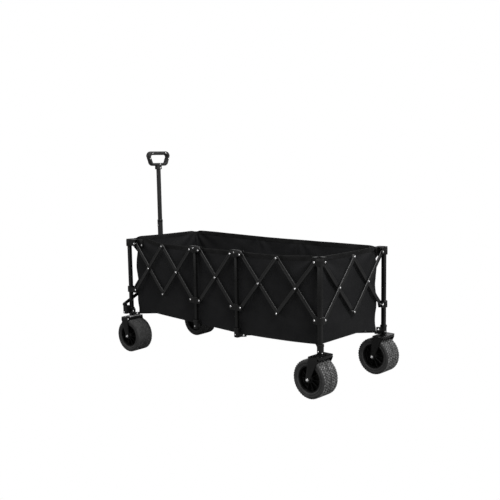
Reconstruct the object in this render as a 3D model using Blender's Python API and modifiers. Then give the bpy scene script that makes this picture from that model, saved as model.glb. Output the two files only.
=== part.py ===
"""Folding camp wagon: scissor-link frame on eight posts, fabric bag, four wide wheels, upright handle.

Metres, +Z up, origin on the floor under the middle. The handle end is the front and points to -X.
Seen from outside, the scissor links that rise to the right lie in the outer layer of each wall.
"""
import math

import bmesh
import bpy
from mathutils import Matrix, Vector

# scissor frame
CELL = 0.2275                  # width of one open scissor cross
CORNER_OFFSET = 0.024          # corner post centre to its link pivots
MIDDLE_OFFSET = 0.0325         # middle post centre to its link pivots
Z_TOP = 0.609                  # upper link pivots
Z_LOW = 0.350                  # lower link pivots, on the sliding brackets
HALF_WIDTH = CELL + CORNER_OFFSET
MIDDLE_X = CELL / 2 + MIDDLE_OFFSET
HALF_LENGTH = MIDDLE_X + MIDDLE_OFFSET + 2 * CELL + CORNER_OFFSET
FRONT_EXTRA = 0.030            # the front posts stand this much further from their side links
FRONT_X = -HALF_LENGTH - FRONT_EXTRA
REAR_X = HALF_LENGTH

# links
LINK_WIDTH = 0.0190
LINK_THICKNESS = 0.008
LINK_END = 0.0095              # material beyond each pivot
LINK_ROUNDING = 0.49 * LINK_WIDTH
OUTER_LAYER = 0.0055           # middle of the outer links, outwards of the posts' middle plane
INNER_LAYER = -0.0030

# posts and their brackets
CORNER_TUBE = 0.018
MIDDLE_TUBE = 0.015
TUBE_WALL = 0.0015
TUBE_ROUNDING = 0.003
CORNER_BRACKET = 0.0276
MIDDLE_BRACKET = 0.0260
BRACKET_ROUNDING = 0.004
CAP_BOTTOM = 0.588
CAP_TOP = 0.632
SLIDER_HEIGHT = 0.036
SLIDER_PROUD = 0.0003          # a slider is this much thicker than the bracket above it
SLIDER_CLEARANCE = 0.0004
LUG_THICKNESS = 0.007
LUG_HEIGHT = 0.026
LUG_GAP = 0.0005               # between a lug and the link that it carries
CORNER_FOOT = 0.0250
MIDDLE_FOOT = 0.0270
FOOT_BOTTOM = 0.1985
FOOT_TOP = 0.245
FOOT_LUG_REACH = 0.040
FOOT_LUG_WIDTH = 0.012
FOOT_LUG_BOTTOM = 0.2000
FOOT_LUG_TOP = 0.2150
SEAT = 0.004                   # how far one shape runs into the next where they are joined

# running gear
WHEEL_RADIUS = 0.090
WHEEL_WIDTH = 0.104
TYRE_SHOULDER = 0.010          # width and height of the bevel between tread and sidewall
RIM_RADIUS = 0.063
RIM_LIP = 0.004
RIM_DISH = 0.014               # the rim's disc lies this deep within the sidewall
HUB_RADIUS = 0.017
AXLE_RADIUS = 0.006
AXLE_CLEARANCE = 0.0004
FORK_PLATE_BOTTOM = 0.1845
FORK_PLATE_TOP = 0.1945
FORK_LEG = 0.005
FORK_INSIDE = 0.0535           # half the gap between the legs
FORK_PLATE_LENGTH = 0.060
FORK_PLATE_ROUNDING = 0.010
FORK_LEG_TOP = 0.052
FORK_TIP_RADIUS = 0.012
NECK_RADIUS = 0.021
BOLT_RADIUS = 0.017            # the screwed joint between a rear foot and its fixed fork
REAR_TRAIL = -0.028            # from each post to its axle, along X
FRONT_TRAIL = 0.020
CASTER_TURN = math.radians(4)
RUNNING_GAP = 0.0004
WHEEL_SIDES = 32

# brake pedals
PEDAL_HINGE_X = -0.0370
PEDAL_HINGE_Z = 0.1875
PEDAL_WIDTH = 0.036
PEDAL_LENGTH = 0.044
PEDAL_THICKNESS = 0.007
PEDAL_DROOP = math.radians(35)

# handle
HANDLE_X = FRONT_X - 0.0300
YOKE_FOOT_Y = HALF_WIDTH + 0.030
YOKE_FOOT_Z = 0.262
ARM_HALF = 0.012               # half the width of the front feet's arms
ARM_HEIGHT = 0.034
PAD_THICKNESS = 0.010
HUB_PIN_Y = 0.0225
HUB_Z = 0.385
HUB_HALF_WIDTH = 0.035
HUB_BOTTOM = HUB_Z - 0.016
HUB_TOP = HUB_Z + 0.0115
HUB_THICKNESS = 0.008
EAR_BOTTOM = HUB_Z + 0.0215    # in front of the plate, to clear the links as they swing up
EAR_FRONT = 0.014              # ahead of the tilt pin
EAR_THICKNESS = 0.005
EAR_GAP = 0.003                # between each ear and the tube
TILT_Z = HUB_Z + 0.032
TILT_PIN_RADIUS = 0.004
TILT_PIN_CLEARANCE = 0.0005
LOWER_TUBE_RADIUS = 0.0148
LOWER_TUBE_BORE = 0.0132
LOWER_TUBE_DROP = 0.011        # the tube's end below its tilt pin
LOWER_TUBE_PLUG = 0.014        # and the top of its solid foot above the pin
LOWER_TUBE_TOP = 0.722
UPPER_TUBE_RADIUS = 0.0126
UPPER_TUBE_BORE = 0.0110
UPPER_TUBE_BOTTOM = 0.680
TUBE_SIDES = 20
GRIP_BOTTOM = 1.014
GRIP_LOOP_BOTTOM = 1.034
GRIP_TOP = 1.117
GRIP_HALF_TOP = 0.078
GRIP_HALF_LOW = 0.066
GRIP_DEPTH = 0.030
GRIP_SIDE = 0.0145             # thickness of the grip's bars: sides, then lower, then upper
GRIP_LOWER = 0.0155
GRIP_WALL = 0.019
GRIP_ROUNDING = 0.026
GRIP_INNER_ROUNDING = 0.013
GRIP_INNER_FLARE = 0.003       # the lower corners of the hand hole lie this much further out
GRIP_NECK_HALF = 0.019
GRIP_NECK_ROUNDING = 0.008

# soft bag and floor hubs
BAG_FRONT_X = FRONT_X + 0.024
BAG_REAR_X = REAR_X - 0.020
BAG_HALF_Y = HALF_WIDTH - 0.019
BAG_BOTTOM = 0.2165
BAG_TOP = 0.626
BAG_WALL = 0.006
BAG_FLOOR = 0.014
BAG_ROUNDING = 0.022
FLOOR_HUB_RADIUS = 0.042
FLOOR_HUB_BOTTOM = 0.190
FLOOR_HUB_TOP = 0.2150

# modelling
CUT_PAST = 0.05                # how far a cutter runs past the face that it opens
MERGE = 0.00002

# wall number -> its name; wall k faces the direction turned k quarter turns from -Y
WALLS = ("left", "rear", "right", "front")

COLOURS = {
    "frame_black": ((0.030, 0.030, 0.032), 0.42, 0.6),
    "bracket_plastic": ((0.018, 0.018, 0.020), 0.45, 0.0),
    "wheel_rubber": ((0.055, 0.055, 0.058), 0.75, 0.0),
    "bag_fabric": ((0.012, 0.012, 0.014), 0.85, 0.0),
    "handle_metal": ((0.050, 0.050, 0.052), 0.35, 0.7),
    "grip_plastic": ((0.020, 0.020, 0.022), 0.50, 0.0),
}


def clear_scene():
    for obj in list(bpy.data.objects):
        bpy.data.objects.remove(obj)


def new_collection(name):
    collection = bpy.data.collections.new(name)
    bpy.context.scene.collection.children.link(collection)
    return collection


def make_materials():
    for name, (colour, roughness, metallic) in COLOURS.items():
        material = bpy.data.materials.new(name)
        material.use_nodes = True
        shader = material.node_tree.nodes["Principled BSDF"]
        shader.inputs["Base Color"].default_value = (*colour, 1.0)
        shader.inputs["Roughness"].default_value = roughness
        shader.inputs["Metallic"].default_value = metallic
        material.diffuse_color = (*colour, 1.0)


def own_material(obj, base):
    """Give the object its own copy of a base material, held by the object so that a mesh can be shared."""
    material = bpy.data.materials[base].copy()
    material.name = obj.name + "_" + base
    if not obj.data.materials:
        obj.data.materials.append(bpy.data.materials[base])
    obj.material_slots[0].link = "OBJECT"
    obj.material_slots[0].material = material


def mesh_object(name, mesh):
    obj = bpy.data.objects.new(name, mesh)
    PARTS.objects.link(obj)
    return obj


def finish_bmesh(bm, name):
    mesh = bpy.data.meshes.new(name)
    bm.normal_update()
    bm.to_mesh(mesh)
    bm.free()
    return mesh


def box(name, low, high, rounding=0.0, axis=2, segments=2):
    """A box between two corners; rounding bevels the four edges that run along the axis."""
    bm = bmesh.new()
    size = Vector(high) - Vector(low)
    middle = (Vector(high) + Vector(low)) / 2
    matrix = Matrix.Translation(middle) @ Matrix.Diagonal((*size, 1.0))
    bmesh.ops.create_cube(bm, size=1.0, matrix=matrix)
    if rounding:
        edges = [edge for edge in bm.edges
                 if abs((edge.verts[0].co - edge.verts[1].co)[axis]) > size[axis] / 2]
        bmesh.ops.bevel(bm, geom=edges, offset=rounding, segments=segments, profile=0.5,
                        affect="EDGES", clamp_overlap=False)
    return mesh_object(name, finish_bmesh(bm, name))


def cylinder(name, radius, start, end, sides=16):
    bm = bmesh.new()
    run = Vector(end) - Vector(start)
    turn = run.to_track_quat("Z", "Y").to_matrix().to_4x4()
    matrix = Matrix.Translation((Vector(start) + Vector(end)) / 2) @ turn
    bmesh.ops.create_cone(bm, cap_ends=True, segments=sides, radius1=radius, radius2=radius,
                          depth=run.length, matrix=matrix)
    return mesh_object(name, finish_bmesh(bm, name))


def outline(name, loops, half_thickness, matrix):
    """Extrude closed outlines, holes included, and stand the plate up with a matrix."""
    curve = bpy.data.curves.new(name, "CURVE")
    curve.dimensions = "2D"
    curve.fill_mode = "BOTH"
    curve.extrude = half_thickness
    for points in loops:
        spline = curve.splines.new("POLY")
        spline.points.add(len(points) - 1)
        for point, (x, y) in zip(spline.points, points):
            point.co = (x, y, 0.0, 1.0)
        spline.use_cyclic_u = True
    guide = bpy.data.objects.new(name, curve)
    PARTS.objects.link(guide)
    bpy.context.view_layer.update()
    evaluated = guide.evaluated_get(bpy.context.evaluated_depsgraph_get())
    mesh = bpy.data.meshes.new_from_object(evaluated)
    bpy.data.objects.remove(guide)
    bm = bmesh.new()
    bm.from_mesh(mesh)
    bmesh.ops.remove_doubles(bm, verts=bm.verts, dist=MERGE)
    bmesh.ops.recalc_face_normals(bm, faces=bm.faces)
    bm.transform(matrix)
    bm.to_mesh(mesh)
    bm.free()
    return mesh_object(name, mesh)


def combine(base, operation, others):
    """Join or cut with exact Booleans, and keep the result as the base object's own mesh."""
    for number, other in enumerate(others):
        modifier = base.modifiers.new(f"{operation.lower()}_{number}", "BOOLEAN")
        modifier.operation = operation
        modifier.solver = "EXACT"
        modifier.object = other
    bpy.context.view_layer.update()
    evaluated = base.evaluated_get(bpy.context.evaluated_depsgraph_get())
    mesh = bpy.data.meshes.new_from_object(evaluated)
    base.modifiers.clear()
    base.data = mesh
    for other in others:
        bpy.data.objects.remove(other)
    return base


def smooth(obj, degrees=35):
    obj.data.shade_smooth()
    obj.data.set_sharp_from_angle(angle=math.radians(degrees))


def arc(centre_x, centre_y, radius, first, last, steps):
    """Points of an arc, angles in degrees."""
    angles = [math.radians(first + (last - first) * step / steps) for step in range(steps + 1)]
    return [(centre_x + radius * math.cos(a), centre_y + radius * math.sin(a)) for a in angles]


def place(obj, location, turn=(0.0, 0.0, 0.0)):
    obj.location = location
    obj.rotation_euler = turn
    obj.parent = WAGON


def wall_turn(wall):
    return wall * math.pi / 2


def wall_point(wall, along, outwards, z):
    """A point given along a wall, seen from outside, and outwards of its middle plane."""
    reach = (HALF_WIDTH, REAR_X, HALF_WIDTH, -FRONT_X)[wall]
    point = Matrix.Rotation(wall_turn(wall), 4, "Z") @ Vector((along, -reach - outwards, z))
    return point


def link_mesh(length):
    """A flat-oval bar along +X in the XZ plane, its first pivot at the origin."""
    bar = box("link_shape", (-LINK_END, -LINK_THICKNESS / 2, -LINK_WIDTH / 2),
              (length + LINK_END, LINK_THICKNESS / 2, LINK_WIDTH / 2),
              rounding=LINK_ROUNDING, axis=1, segments=3)
    mesh = bar.data
    bpy.data.objects.remove(bar)
    return mesh


def wall_crosses(wall):
    """Left edges of the crosses of a wall, and whether each one hangs on its left or right post."""
    if wall % 2:
        return [(-CELL, "left"), (0.0, "right")]
    first = -HALF_LENGTH + CORNER_OFFSET
    last = HALF_LENGTH - CORNER_OFFSET
    return [(first, "left"), (first + CELL, "right"), (-CELL / 2, "left"),
            (last - 2 * CELL, "left"), (last - CELL, "right")]


def make_links():
    """Each cross has an outer link that rises to the right and an inner link that falls."""
    rise = Z_TOP - Z_LOW
    mesh = link_mesh(math.hypot(CELL, rise))
    slope = math.atan2(rise, CELL)
    for wall, wall_name in enumerate(WALLS):
        crosses = wall_crosses(wall)
        for number, (edge, hung) in enumerate(crosses):
            # crosses are numbered from the front on the sides, and from the left on the ends
            place_number = number + 1 if wall in (0, 1) else len(crosses) - number
            for layer in ("outer", "inner"):
                left_z, right_z = (Z_LOW, Z_TOP) if layer == "outer" else (Z_TOP, Z_LOW)
                angle = slope if layer == "outer" else -slope
                if hung == "left":
                    along, z = edge, left_z
                else:
                    along, z = edge + CELL, right_z
                    angle += math.pi
                depth = OUTER_LAYER if layer == "outer" else INNER_LAYER
                link = mesh_object(f"link_{wall_name}_{place_number}_{layer}", mesh)
                place(link, wall_point(wall, along, depth, z), (0.0, -angle, wall_turn(wall)))
                own_material(link, "frame_black")


def lug(wall, side, level, offset, start):
    """A bracket's ear behind the link that it carries; side is +1 towards the wall's right."""
    top = level == "top"
    layer = INNER_LAYER if (side > 0) == top else OUTER_LAYER
    back = layer - LINK_THICKNESS / 2 - LUG_GAP - LUG_THICKNESS
    near, far = sorted((side * start, side * (offset + LINK_END)))
    z = Z_TOP if top else Z_LOW
    ear = box("lug", (near, -back - LUG_THICKNESS, z - LUG_HEIGHT / 2),
              (far, -back, z + LUG_HEIGHT / 2))
    ear.data.transform(Matrix.Rotation(wall_turn(wall), 4, "Z"))
    return ear


def wheel_fork(trail):
    """A plate, two tapering legs and an axle under a post's axis; trail is where the axle lies on X."""
    half = FORK_PLATE_LENGTH / 2
    leg_half = FORK_LEG_TOP / 2
    outside = FORK_INSIDE + FORK_LEG
    fork = box("fork", (-half, -outside, FORK_PLATE_BOTTOM), (half, outside, FORK_PLATE_TOP),
               rounding=FORK_PLATE_ROUNDING)
    top, shoulder = FORK_PLATE_TOP - SEAT / 2, FORK_PLATE_BOTTOM - SEAT
    shape = [(leg_half - SEAT, top), (-leg_half + SEAT, top), (-leg_half, shoulder)]
    shape += arc(trail, WHEEL_RADIUS, FORK_TIP_RADIUS, 190, 350, 6)
    shape += [(leg_half, shoulder)]
    legs = []
    for side in (-1, 1):
        stand = Matrix.Translation((0, side * (FORK_INSIDE + FORK_LEG / 2), 0))
        stand = stand @ Matrix.Rotation(math.pi / 2, 4, "X")
        legs.append(outline("leg", [shape], FORK_LEG / 2, stand))
    axle_end = outside - FORK_LEG / 4
    axle = cylinder("axle", AXLE_RADIUS, (trail, -axle_end, WHEEL_RADIUS),
                    (trail, axle_end, WHEEL_RADIUS), 12)
    neck = cylinder("neck", NECK_RADIUS, (0, 0, FORK_PLATE_TOP - SEAT),
                    (0, 0, FOOT_BOTTOM - RUNNING_GAP), 20)
    return combine(fork, "UNION", [*legs, axle, neck])


def floor_hub_x(x):
    """The floor hub on this side lies midway between its corner posts and middle posts."""
    return (REAR_X + MIDDLE_X) / 2 if x > 0 else (FRONT_X - MIDDLE_X) / 2


def hub_direction(x, y):
    """Unit vector on the floor plane from a post towards its floor hub."""
    return Vector((floor_hub_x(x) - x, -y, 0.0)).normalized()


def is_corner(x):
    return abs(x) > 2 * MIDDLE_X


def lug_offset(x, wall):
    """How far from a post's axis its link pivots are, along a wall."""
    if not is_corner(x):
        return MIDDLE_OFFSET
    return CORNER_OFFSET + (FRONT_EXTRA if x < 0 and wall % 2 == 0 else 0.0)


def make_post(name, x, y, arms):
    """A tube with its top bracket and foot. arms are (wall, side) of the lugs; rear posts carry a fork."""
    corner = is_corner(x)
    tube_half = (CORNER_TUBE if corner else MIDDLE_TUBE) / 2
    bracket_half = (CORNER_BRACKET if corner else MIDDLE_BRACKET) / 2
    foot_half = (CORNER_FOOT if corner else MIDDLE_FOOT) / 2
    post = box(name, (-tube_half, -tube_half, FOOT_BOTTOM + SEAT),
               (tube_half, tube_half, CAP_TOP - SEAT), rounding=TUBE_ROUNDING)
    cap = box("cap", (-bracket_half, -bracket_half, CAP_BOTTOM),
              (bracket_half, bracket_half, CAP_TOP), rounding=BRACKET_ROUNDING)
    foot = box("foot", (-foot_half, -foot_half, FOOT_BOTTOM), (foot_half, foot_half, FOOT_TOP),
               rounding=BRACKET_ROUNDING)
    pieces = [cap, foot]
    pieces += [lug(wall, side, "top", lug_offset(x, wall), bracket_half - SEAT) for wall, side in arms]
    inward = hub_direction(x, y)
    strut_lug = box("strut_lug", (0, -FOOT_LUG_WIDTH / 2, FOOT_LUG_BOTTOM),
                    (FOOT_LUG_REACH, FOOT_LUG_WIDTH / 2, FOOT_LUG_TOP))
    strut_lug.data.transform(Matrix.Rotation(math.atan2(inward.y, inward.x), 4, "Z"))
    pieces.append(strut_lug)
    if corner and x < 0:
        pieces.append(yoke_arm(y))
    if corner and x > 0:
        pieces.append(wheel_fork(REAR_TRAIL))
        # the fixed fork is bolted up against the foot
        pieces.append(cylinder("bolt", BOLT_RADIUS, (0, 0, FORK_PLATE_TOP - SEAT),
                               (0, 0, FOOT_BOTTOM + SEAT), 20))
    combine(post, "UNION", pieces)
    bore_half = tube_half - TUBE_WALL
    bore = box("bore", (-bore_half, -bore_half, FORK_PLATE_BOTTOM - CUT_PAST),
               (bore_half, bore_half, CAP_TOP - 1.5 * SEAT))
    combine(post, "DIFFERENCE", [bore])
    own_material(post, "frame_black")
    place(post, (x, y, 0.0))
    return post


def yoke_arm(y):
    """The front foot's arm that reaches forward to the handle's yoke link."""
    side = math.copysign(1.0, y)
    reach = HANDLE_X - FRONT_X
    out = side * (YOKE_FOOT_Y - HALF_WIDTH)
    back = reach + LINK_THICKNESS / 2 + LUG_GAP
    low, high = out - ARM_HALF, out + ARM_HALF
    arm = box("arm", (back, min(low, -ARM_HALF), FOOT_TOP - ARM_HEIGHT),
              (0.0, max(high, ARM_HALF), FOOT_TOP), rounding=BRACKET_ROUNDING)
    pad = box("pad", (back, low, FOOT_TOP - ARM_HEIGHT),
              (back + PAD_THICKNESS, high, YOKE_FOOT_Z + ARM_HALF))
    return combine(arm, "UNION", [pad])


def make_slider(name, x, y, arms):
    """A bracket that slides on its post and carries the lower link pivots."""
    corner = is_corner(x)
    bracket_half = (CORNER_BRACKET if corner else MIDDLE_BRACKET) / 2 + SLIDER_PROUD
    hole_half = (CORNER_TUBE if corner else MIDDLE_TUBE) / 2 + SLIDER_CLEARANCE
    half_height = SLIDER_HEIGHT / 2
    slider = box(name, (-bracket_half, -bracket_half, Z_LOW - half_height),
                 (bracket_half, bracket_half, Z_LOW + half_height), rounding=BRACKET_ROUNDING)
    lugs = [lug(wall, side, "low", lug_offset(x, wall), bracket_half - SEAT) for wall, side in arms]
    combine(slider, "UNION", lugs)
    hole = box("hole", (-hole_half, -hole_half, Z_LOW - 2 * half_height),
               (hole_half, hole_half, Z_LOW + 2 * half_height))
    combine(slider, "DIFFERENCE", [hole])
    own_material(slider, "bracket_plastic")
    place(slider, (x, y, 0.0))


def make_posts():
    """Corner posts end one wall and start the next; middle posts stand within the two sides."""
    corners = (("left_front", 0, 3), ("left_rear", 1, 0), ("right_rear", 2, 1), ("right_front", 3, 2))
    for label, starts, ends in corners:
        x = REAR_X if "rear" in label else FRONT_X
        y = -HALF_WIDTH if "left" in label else HALF_WIDTH
        arms = ((starts, 1), (ends, -1))
        make_post("post_" + label, x, y, arms)
        make_slider("slider_" + label, x, y, arms)
    for wall, side_name, y in ((0, "left", -HALF_WIDTH), (2, "right", HALF_WIDTH)):
        for label, x in (("front", -MIDDLE_X), ("rear", MIDDLE_X)):
            arms = ((wall, 1), (wall, -1))
            make_post(f"post_{side_name}_mid_{label}", x, y, arms)
            make_slider(f"slider_{side_name}_mid_{label}", x, y, arms)


def wheel_mesh():
    """A crowned tyre on a dished rim with a hub, turned about Y, with a bore for the axle."""
    outer = WHEEL_RADIUS / math.cos(math.pi / WHEEL_SIDES)
    half = WHEEL_WIDTH / 2
    bore = AXLE_RADIUS + AXLE_CLEARANCE
    side = [(outer, half - TYRE_SHOULDER), (outer - 0.3 * TYRE_SHOULDER, half - 0.3 * TYRE_SHOULDER),
            (outer - TYRE_SHOULDER, half), (RIM_RADIUS, half),
            (RIM_RADIUS - RIM_LIP, half - RIM_DISH), (HUB_RADIUS, half - RIM_DISH),
            (HUB_RADIUS, half), (bore, half)]
    profile = side + [(radius, -width) for radius, width in reversed(side)]
    mesh = bpy.data.meshes.new("wheel_shape")
    # the first facet of the turning lies flat on the floor
    start = math.pi / WHEEL_SIDES
    points = [(radius * math.cos(start), width, radius * math.sin(start)) for radius, width in profile]
    edges = [(number, (number + 1) % len(points)) for number in range(len(points))]
    mesh.from_pydata(points, edges, [])
    guide = mesh_object("wheel_guide", mesh)
    screw = guide.modifiers.new("turn", "SCREW")
    screw.axis = "Y"
    screw.angle = 2 * math.pi
    screw.steps = WHEEL_SIDES
    screw.render_steps = WHEEL_SIDES
    screw.use_merge_vertices = True
    screw.merge_threshold = MERGE
    bpy.context.view_layer.update()
    evaluated = guide.evaluated_get(bpy.context.evaluated_depsgraph_get())
    turned = bpy.data.meshes.new_from_object(evaluated)
    bpy.data.objects.remove(guide)
    bm = bmesh.new()
    bm.from_mesh(turned)
    bmesh.ops.recalc_face_normals(bm, faces=bm.faces)
    bm.to_mesh(turned)
    bm.free()
    return turned


def make_wheels():
    mesh = wheel_mesh()
    for side_name, side in (("left", -1), ("right", 1)):
        y = side * HALF_WIDTH
        rear = mesh_object(f"wheel_{side_name}_rear", mesh)
        place(rear, (REAR_X + REAR_TRAIL, y, WHEEL_RADIUS))
        hub = Matrix.Rotation(CASTER_TURN, 3, "Z") @ Vector((FRONT_TRAIL, 0.0, 0.0))
        front = mesh_object(f"wheel_{side_name}_front", mesh)
        place(front, (FRONT_X + hub.x, y + hub.y, WHEEL_RADIUS), (0.0, 0.0, CASTER_TURN))
        for wheel in (rear, front):
            smooth(wheel)
            own_material(wheel, "wheel_rubber")
        fork = wheel_fork(FRONT_TRAIL)
        fork.name = f"caster_fork_{side_name}"
        own_material(fork, "frame_black")
        place(fork, (FRONT_X, y, 0.0), (0.0, 0.0, CASTER_TURN))
        make_pedal(side_name, y)


def make_pedal(side_name, y):
    """A foot lever in front of a caster fork; pressed down, its toe nears the tyre."""
    pedal = box(f"brake_pedal_{side_name}", (-PEDAL_LENGTH, -PEDAL_WIDTH / 2, -PEDAL_THICKNESS / 2),
                (PEDAL_THICKNESS / 2, PEDAL_WIDTH / 2, PEDAL_THICKNESS / 2), rounding=BRACKET_ROUNDING)
    pedal.data.transform(Matrix.Rotation(-PEDAL_DROOP, 4, "Y"))
    own_material(pedal, "bracket_plastic")
    hinge = Matrix.Rotation(CASTER_TURN, 3, "Z") @ Vector((PEDAL_HINGE_X, 0.0, PEDAL_HINGE_Z))
    place(pedal, (FRONT_X + hinge.x, y + hinge.y, hinge.z), (0.0, 0.0, CASTER_TURN))


def make_yoke():
    """Two links that hang the handle's hub between the front feet."""
    rise = HUB_Z - YOKE_FOOT_Z
    run = YOKE_FOOT_Y - HUB_PIN_Y
    mesh = link_mesh(math.hypot(rise, run))
    slope = math.atan2(rise, run)
    for side_name, side in (("left", -1), ("right", 1)):
        link = mesh_object(f"yoke_link_{side_name}", mesh)
        turn = math.pi / 2 if side < 0 else -math.pi / 2
        place(link, (HANDLE_X, side * YOKE_FOOT_Y, YOKE_FOOT_Z), (0.0, -slope, turn))
        own_material(link, "frame_black")


def make_handle_hub():
    """A plate behind the yoke links with two ears that hold the handle's tilt pin."""
    front = HANDLE_X + LINK_THICKNESS / 2 + LUG_GAP
    back = front + HUB_THICKNESS
    ear_in = LOWER_TUBE_RADIUS + EAR_GAP
    ear_out = ear_in + EAR_THICKNESS
    pin_end = ear_out - EAR_THICKNESS / 4
    hub = box("handle_hub", (front, -HUB_HALF_WIDTH, HUB_BOTTOM), (back, HUB_HALF_WIDTH, HUB_TOP),
              rounding=0.3 * (HUB_TOP - HUB_BOTTOM), axis=0)
    pieces = []
    for side in (-1, 1):
        near, far = sorted((side * ear_in, side * ear_out))
        pieces.append(box("ear_root", (front, near, HUB_TOP - SEAT / 2), (back, far, TILT_Z)))
        pieces.append(box("ear", (HANDLE_X - EAR_FRONT, near, EAR_BOTTOM),
                          (back, far, TILT_Z + EAR_FRONT), rounding=EAR_THICKNESS, axis=1))
    pieces.append(cylinder("tilt_pin", TILT_PIN_RADIUS, (HANDLE_X, -pin_end, TILT_Z),
                           (HANDLE_X, pin_end, TILT_Z), 12))
    combine(hub, "UNION", pieces)
    hub.data.transform(Matrix.Translation((-HANDLE_X, 0.0, -HUB_Z)))
    own_material(hub, "bracket_plastic")
    place(hub, (HANDLE_X, 0.0, HUB_Z))


def make_lower_tube():
    """The fixed half of the telescopic handle, open at its top, tilting on the hub's pin."""
    length = LOWER_TUBE_TOP - TILT_Z
    tube = cylinder("handle_lower_tube", LOWER_TUBE_RADIUS, (0, 0, -LOWER_TUBE_DROP),
                    (0, 0, length), TUBE_SIDES)
    bore = cylinder("bore", LOWER_TUBE_BORE, (0, 0, LOWER_TUBE_PLUG), (0, 0, length + CUT_PAST), TUBE_SIDES)
    pin_hole = cylinder("pin_hole", TILT_PIN_RADIUS + TILT_PIN_CLEARANCE,
                        (0, -2 * LOWER_TUBE_RADIUS, 0), (0, 2 * LOWER_TUBE_RADIUS, 0), 12)
    combine(tube, "DIFFERENCE", [bore, pin_hole])
    smooth(tube)
    own_material(tube, "handle_metal")
    place(tube, (HANDLE_X, 0.0, TILT_Z))


def grip_loop(half_top, half_low, bottom, top, rounding):
    """A rounded trapezoid, wider at its top, as a closed outline in Y and Z."""
    points = arc(half_low - rounding, bottom + rounding, rounding, -90, -5, 3)
    points += arc(half_top - rounding, top - rounding, rounding, 0, 90, 4)
    points += [(-x, y) for x, y in reversed(points)]
    return points


def make_upper_tube():
    """The sliding half of the handle with its grip, a rounded loop with a hand hole."""
    bore_top = GRIP_BOTTOM + SEAT
    tube = cylinder("handle_upper_tube", UPPER_TUBE_RADIUS, (0, 0, UPPER_TUBE_BOTTOM),
                    (0, 0, GRIP_LOOP_BOTTOM + SEAT), TUBE_SIDES)
    bore = cylinder("bore", UPPER_TUBE_BORE, (0, 0, UPPER_TUBE_BOTTOM - CUT_PAST), (0, 0, bore_top),
                    TUBE_SIDES)
    outer = grip_loop(GRIP_HALF_TOP, GRIP_HALF_LOW, GRIP_LOOP_BOTTOM, GRIP_TOP, GRIP_ROUNDING)
    inner = grip_loop(GRIP_HALF_TOP - GRIP_SIDE, GRIP_HALF_LOW - GRIP_SIDE + GRIP_INNER_FLARE,
                      GRIP_LOOP_BOTTOM + GRIP_LOWER, GRIP_TOP - GRIP_WALL, GRIP_INNER_ROUNDING)
    stand = Matrix.Rotation(math.pi / 2, 4, "Z") @ Matrix.Rotation(math.pi / 2, 4, "X")
    loop = outline("loop", [outer, inner], GRIP_DEPTH / 2, stand)
    neck = box("grip_neck", (-GRIP_DEPTH / 2, -GRIP_NECK_HALF, GRIP_BOTTOM),
               (GRIP_DEPTH / 2, GRIP_NECK_HALF, GRIP_LOOP_BOTTOM + 1.5 * SEAT),
               rounding=GRIP_NECK_ROUNDING)
    combine(tube, "DIFFERENCE", [bore])
    combine(neck, "DIFFERENCE", [cylinder("neck_bore", UPPER_TUBE_BORE, (0, 0, GRIP_BOTTOM - CUT_PAST),
                                          (0, 0, bore_top), TUBE_SIDES)])
    combine(tube, "UNION", [neck, loop])
    own_material(tube, "grip_plastic")
    place(tube, (HANDLE_X, 0.0, 0.0))


def make_floor_hubs():
    for label, side in (("front", -1), ("rear", 1)):
        hub = cylinder(f"floor_hub_{label}", FLOOR_HUB_RADIUS, (0, 0, FLOOR_HUB_BOTTOM),
                       (0, 0, FLOOR_HUB_TOP), 24)
        own_material(hub, "bracket_plastic")
        place(hub, (floor_hub_x(side), 0.0, 0.0))


def make_bag():
    """The open fabric bag with its stiff floor, rounded at its four corners."""
    bag = box("bag", (BAG_FRONT_X, -BAG_HALF_Y, BAG_BOTTOM), (BAG_REAR_X, BAG_HALF_Y, BAG_TOP),
              rounding=BAG_ROUNDING, segments=4)
    inside = box("inside", (BAG_FRONT_X + BAG_WALL, -BAG_HALF_Y + BAG_WALL, BAG_BOTTOM + BAG_FLOOR),
                 (BAG_REAR_X - BAG_WALL, BAG_HALF_Y - BAG_WALL, BAG_TOP + CUT_PAST),
                 rounding=BAG_ROUNDING - BAG_WALL, segments=4)
    combine(bag, "DIFFERENCE", [inside])
    own_material(bag, "bag_fabric")
    place(bag, (0.0, 0.0, 0.0))


def centre_on_floor():
    """Move the whole wagon so that the origin is the middle of its box, on the floor."""
    bpy.context.view_layer.update()
    corners = [obj.matrix_world @ vertex.co for obj in PARTS.objects if obj.type == "MESH"
               for vertex in obj.data.vertices]
    for axis in (0, 1):
        values = [corner[axis] for corner in corners]
        WAGON.location[axis] = -(min(values) + max(values)) / 2
    bpy.context.view_layer.update()


clear_scene()
PARTS = new_collection("camp_wagon")
WAGON = bpy.data.objects.new("wagon_origin", None)
PARTS.objects.link(WAGON)
make_materials()
make_bag()
make_posts()
make_links()
make_wheels()
make_yoke()
make_handle_hub()
make_lower_tube()
make_upper_tube()
make_floor_hubs()
centre_on_floor()
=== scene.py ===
"""Folding camp wagon: materials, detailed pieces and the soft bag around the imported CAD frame.

Lengths are metres. Plan positions are written from the wagon's own centre, and MOVE takes them
to the frame. -X is the front, where the handle stands, and -Y is the left side.
"""
from math import atan2, copysign, cos, exp, hypot, pi, radians, sin

import bmesh
import bpy
from mathutils import Matrix, Vector, noise


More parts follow.
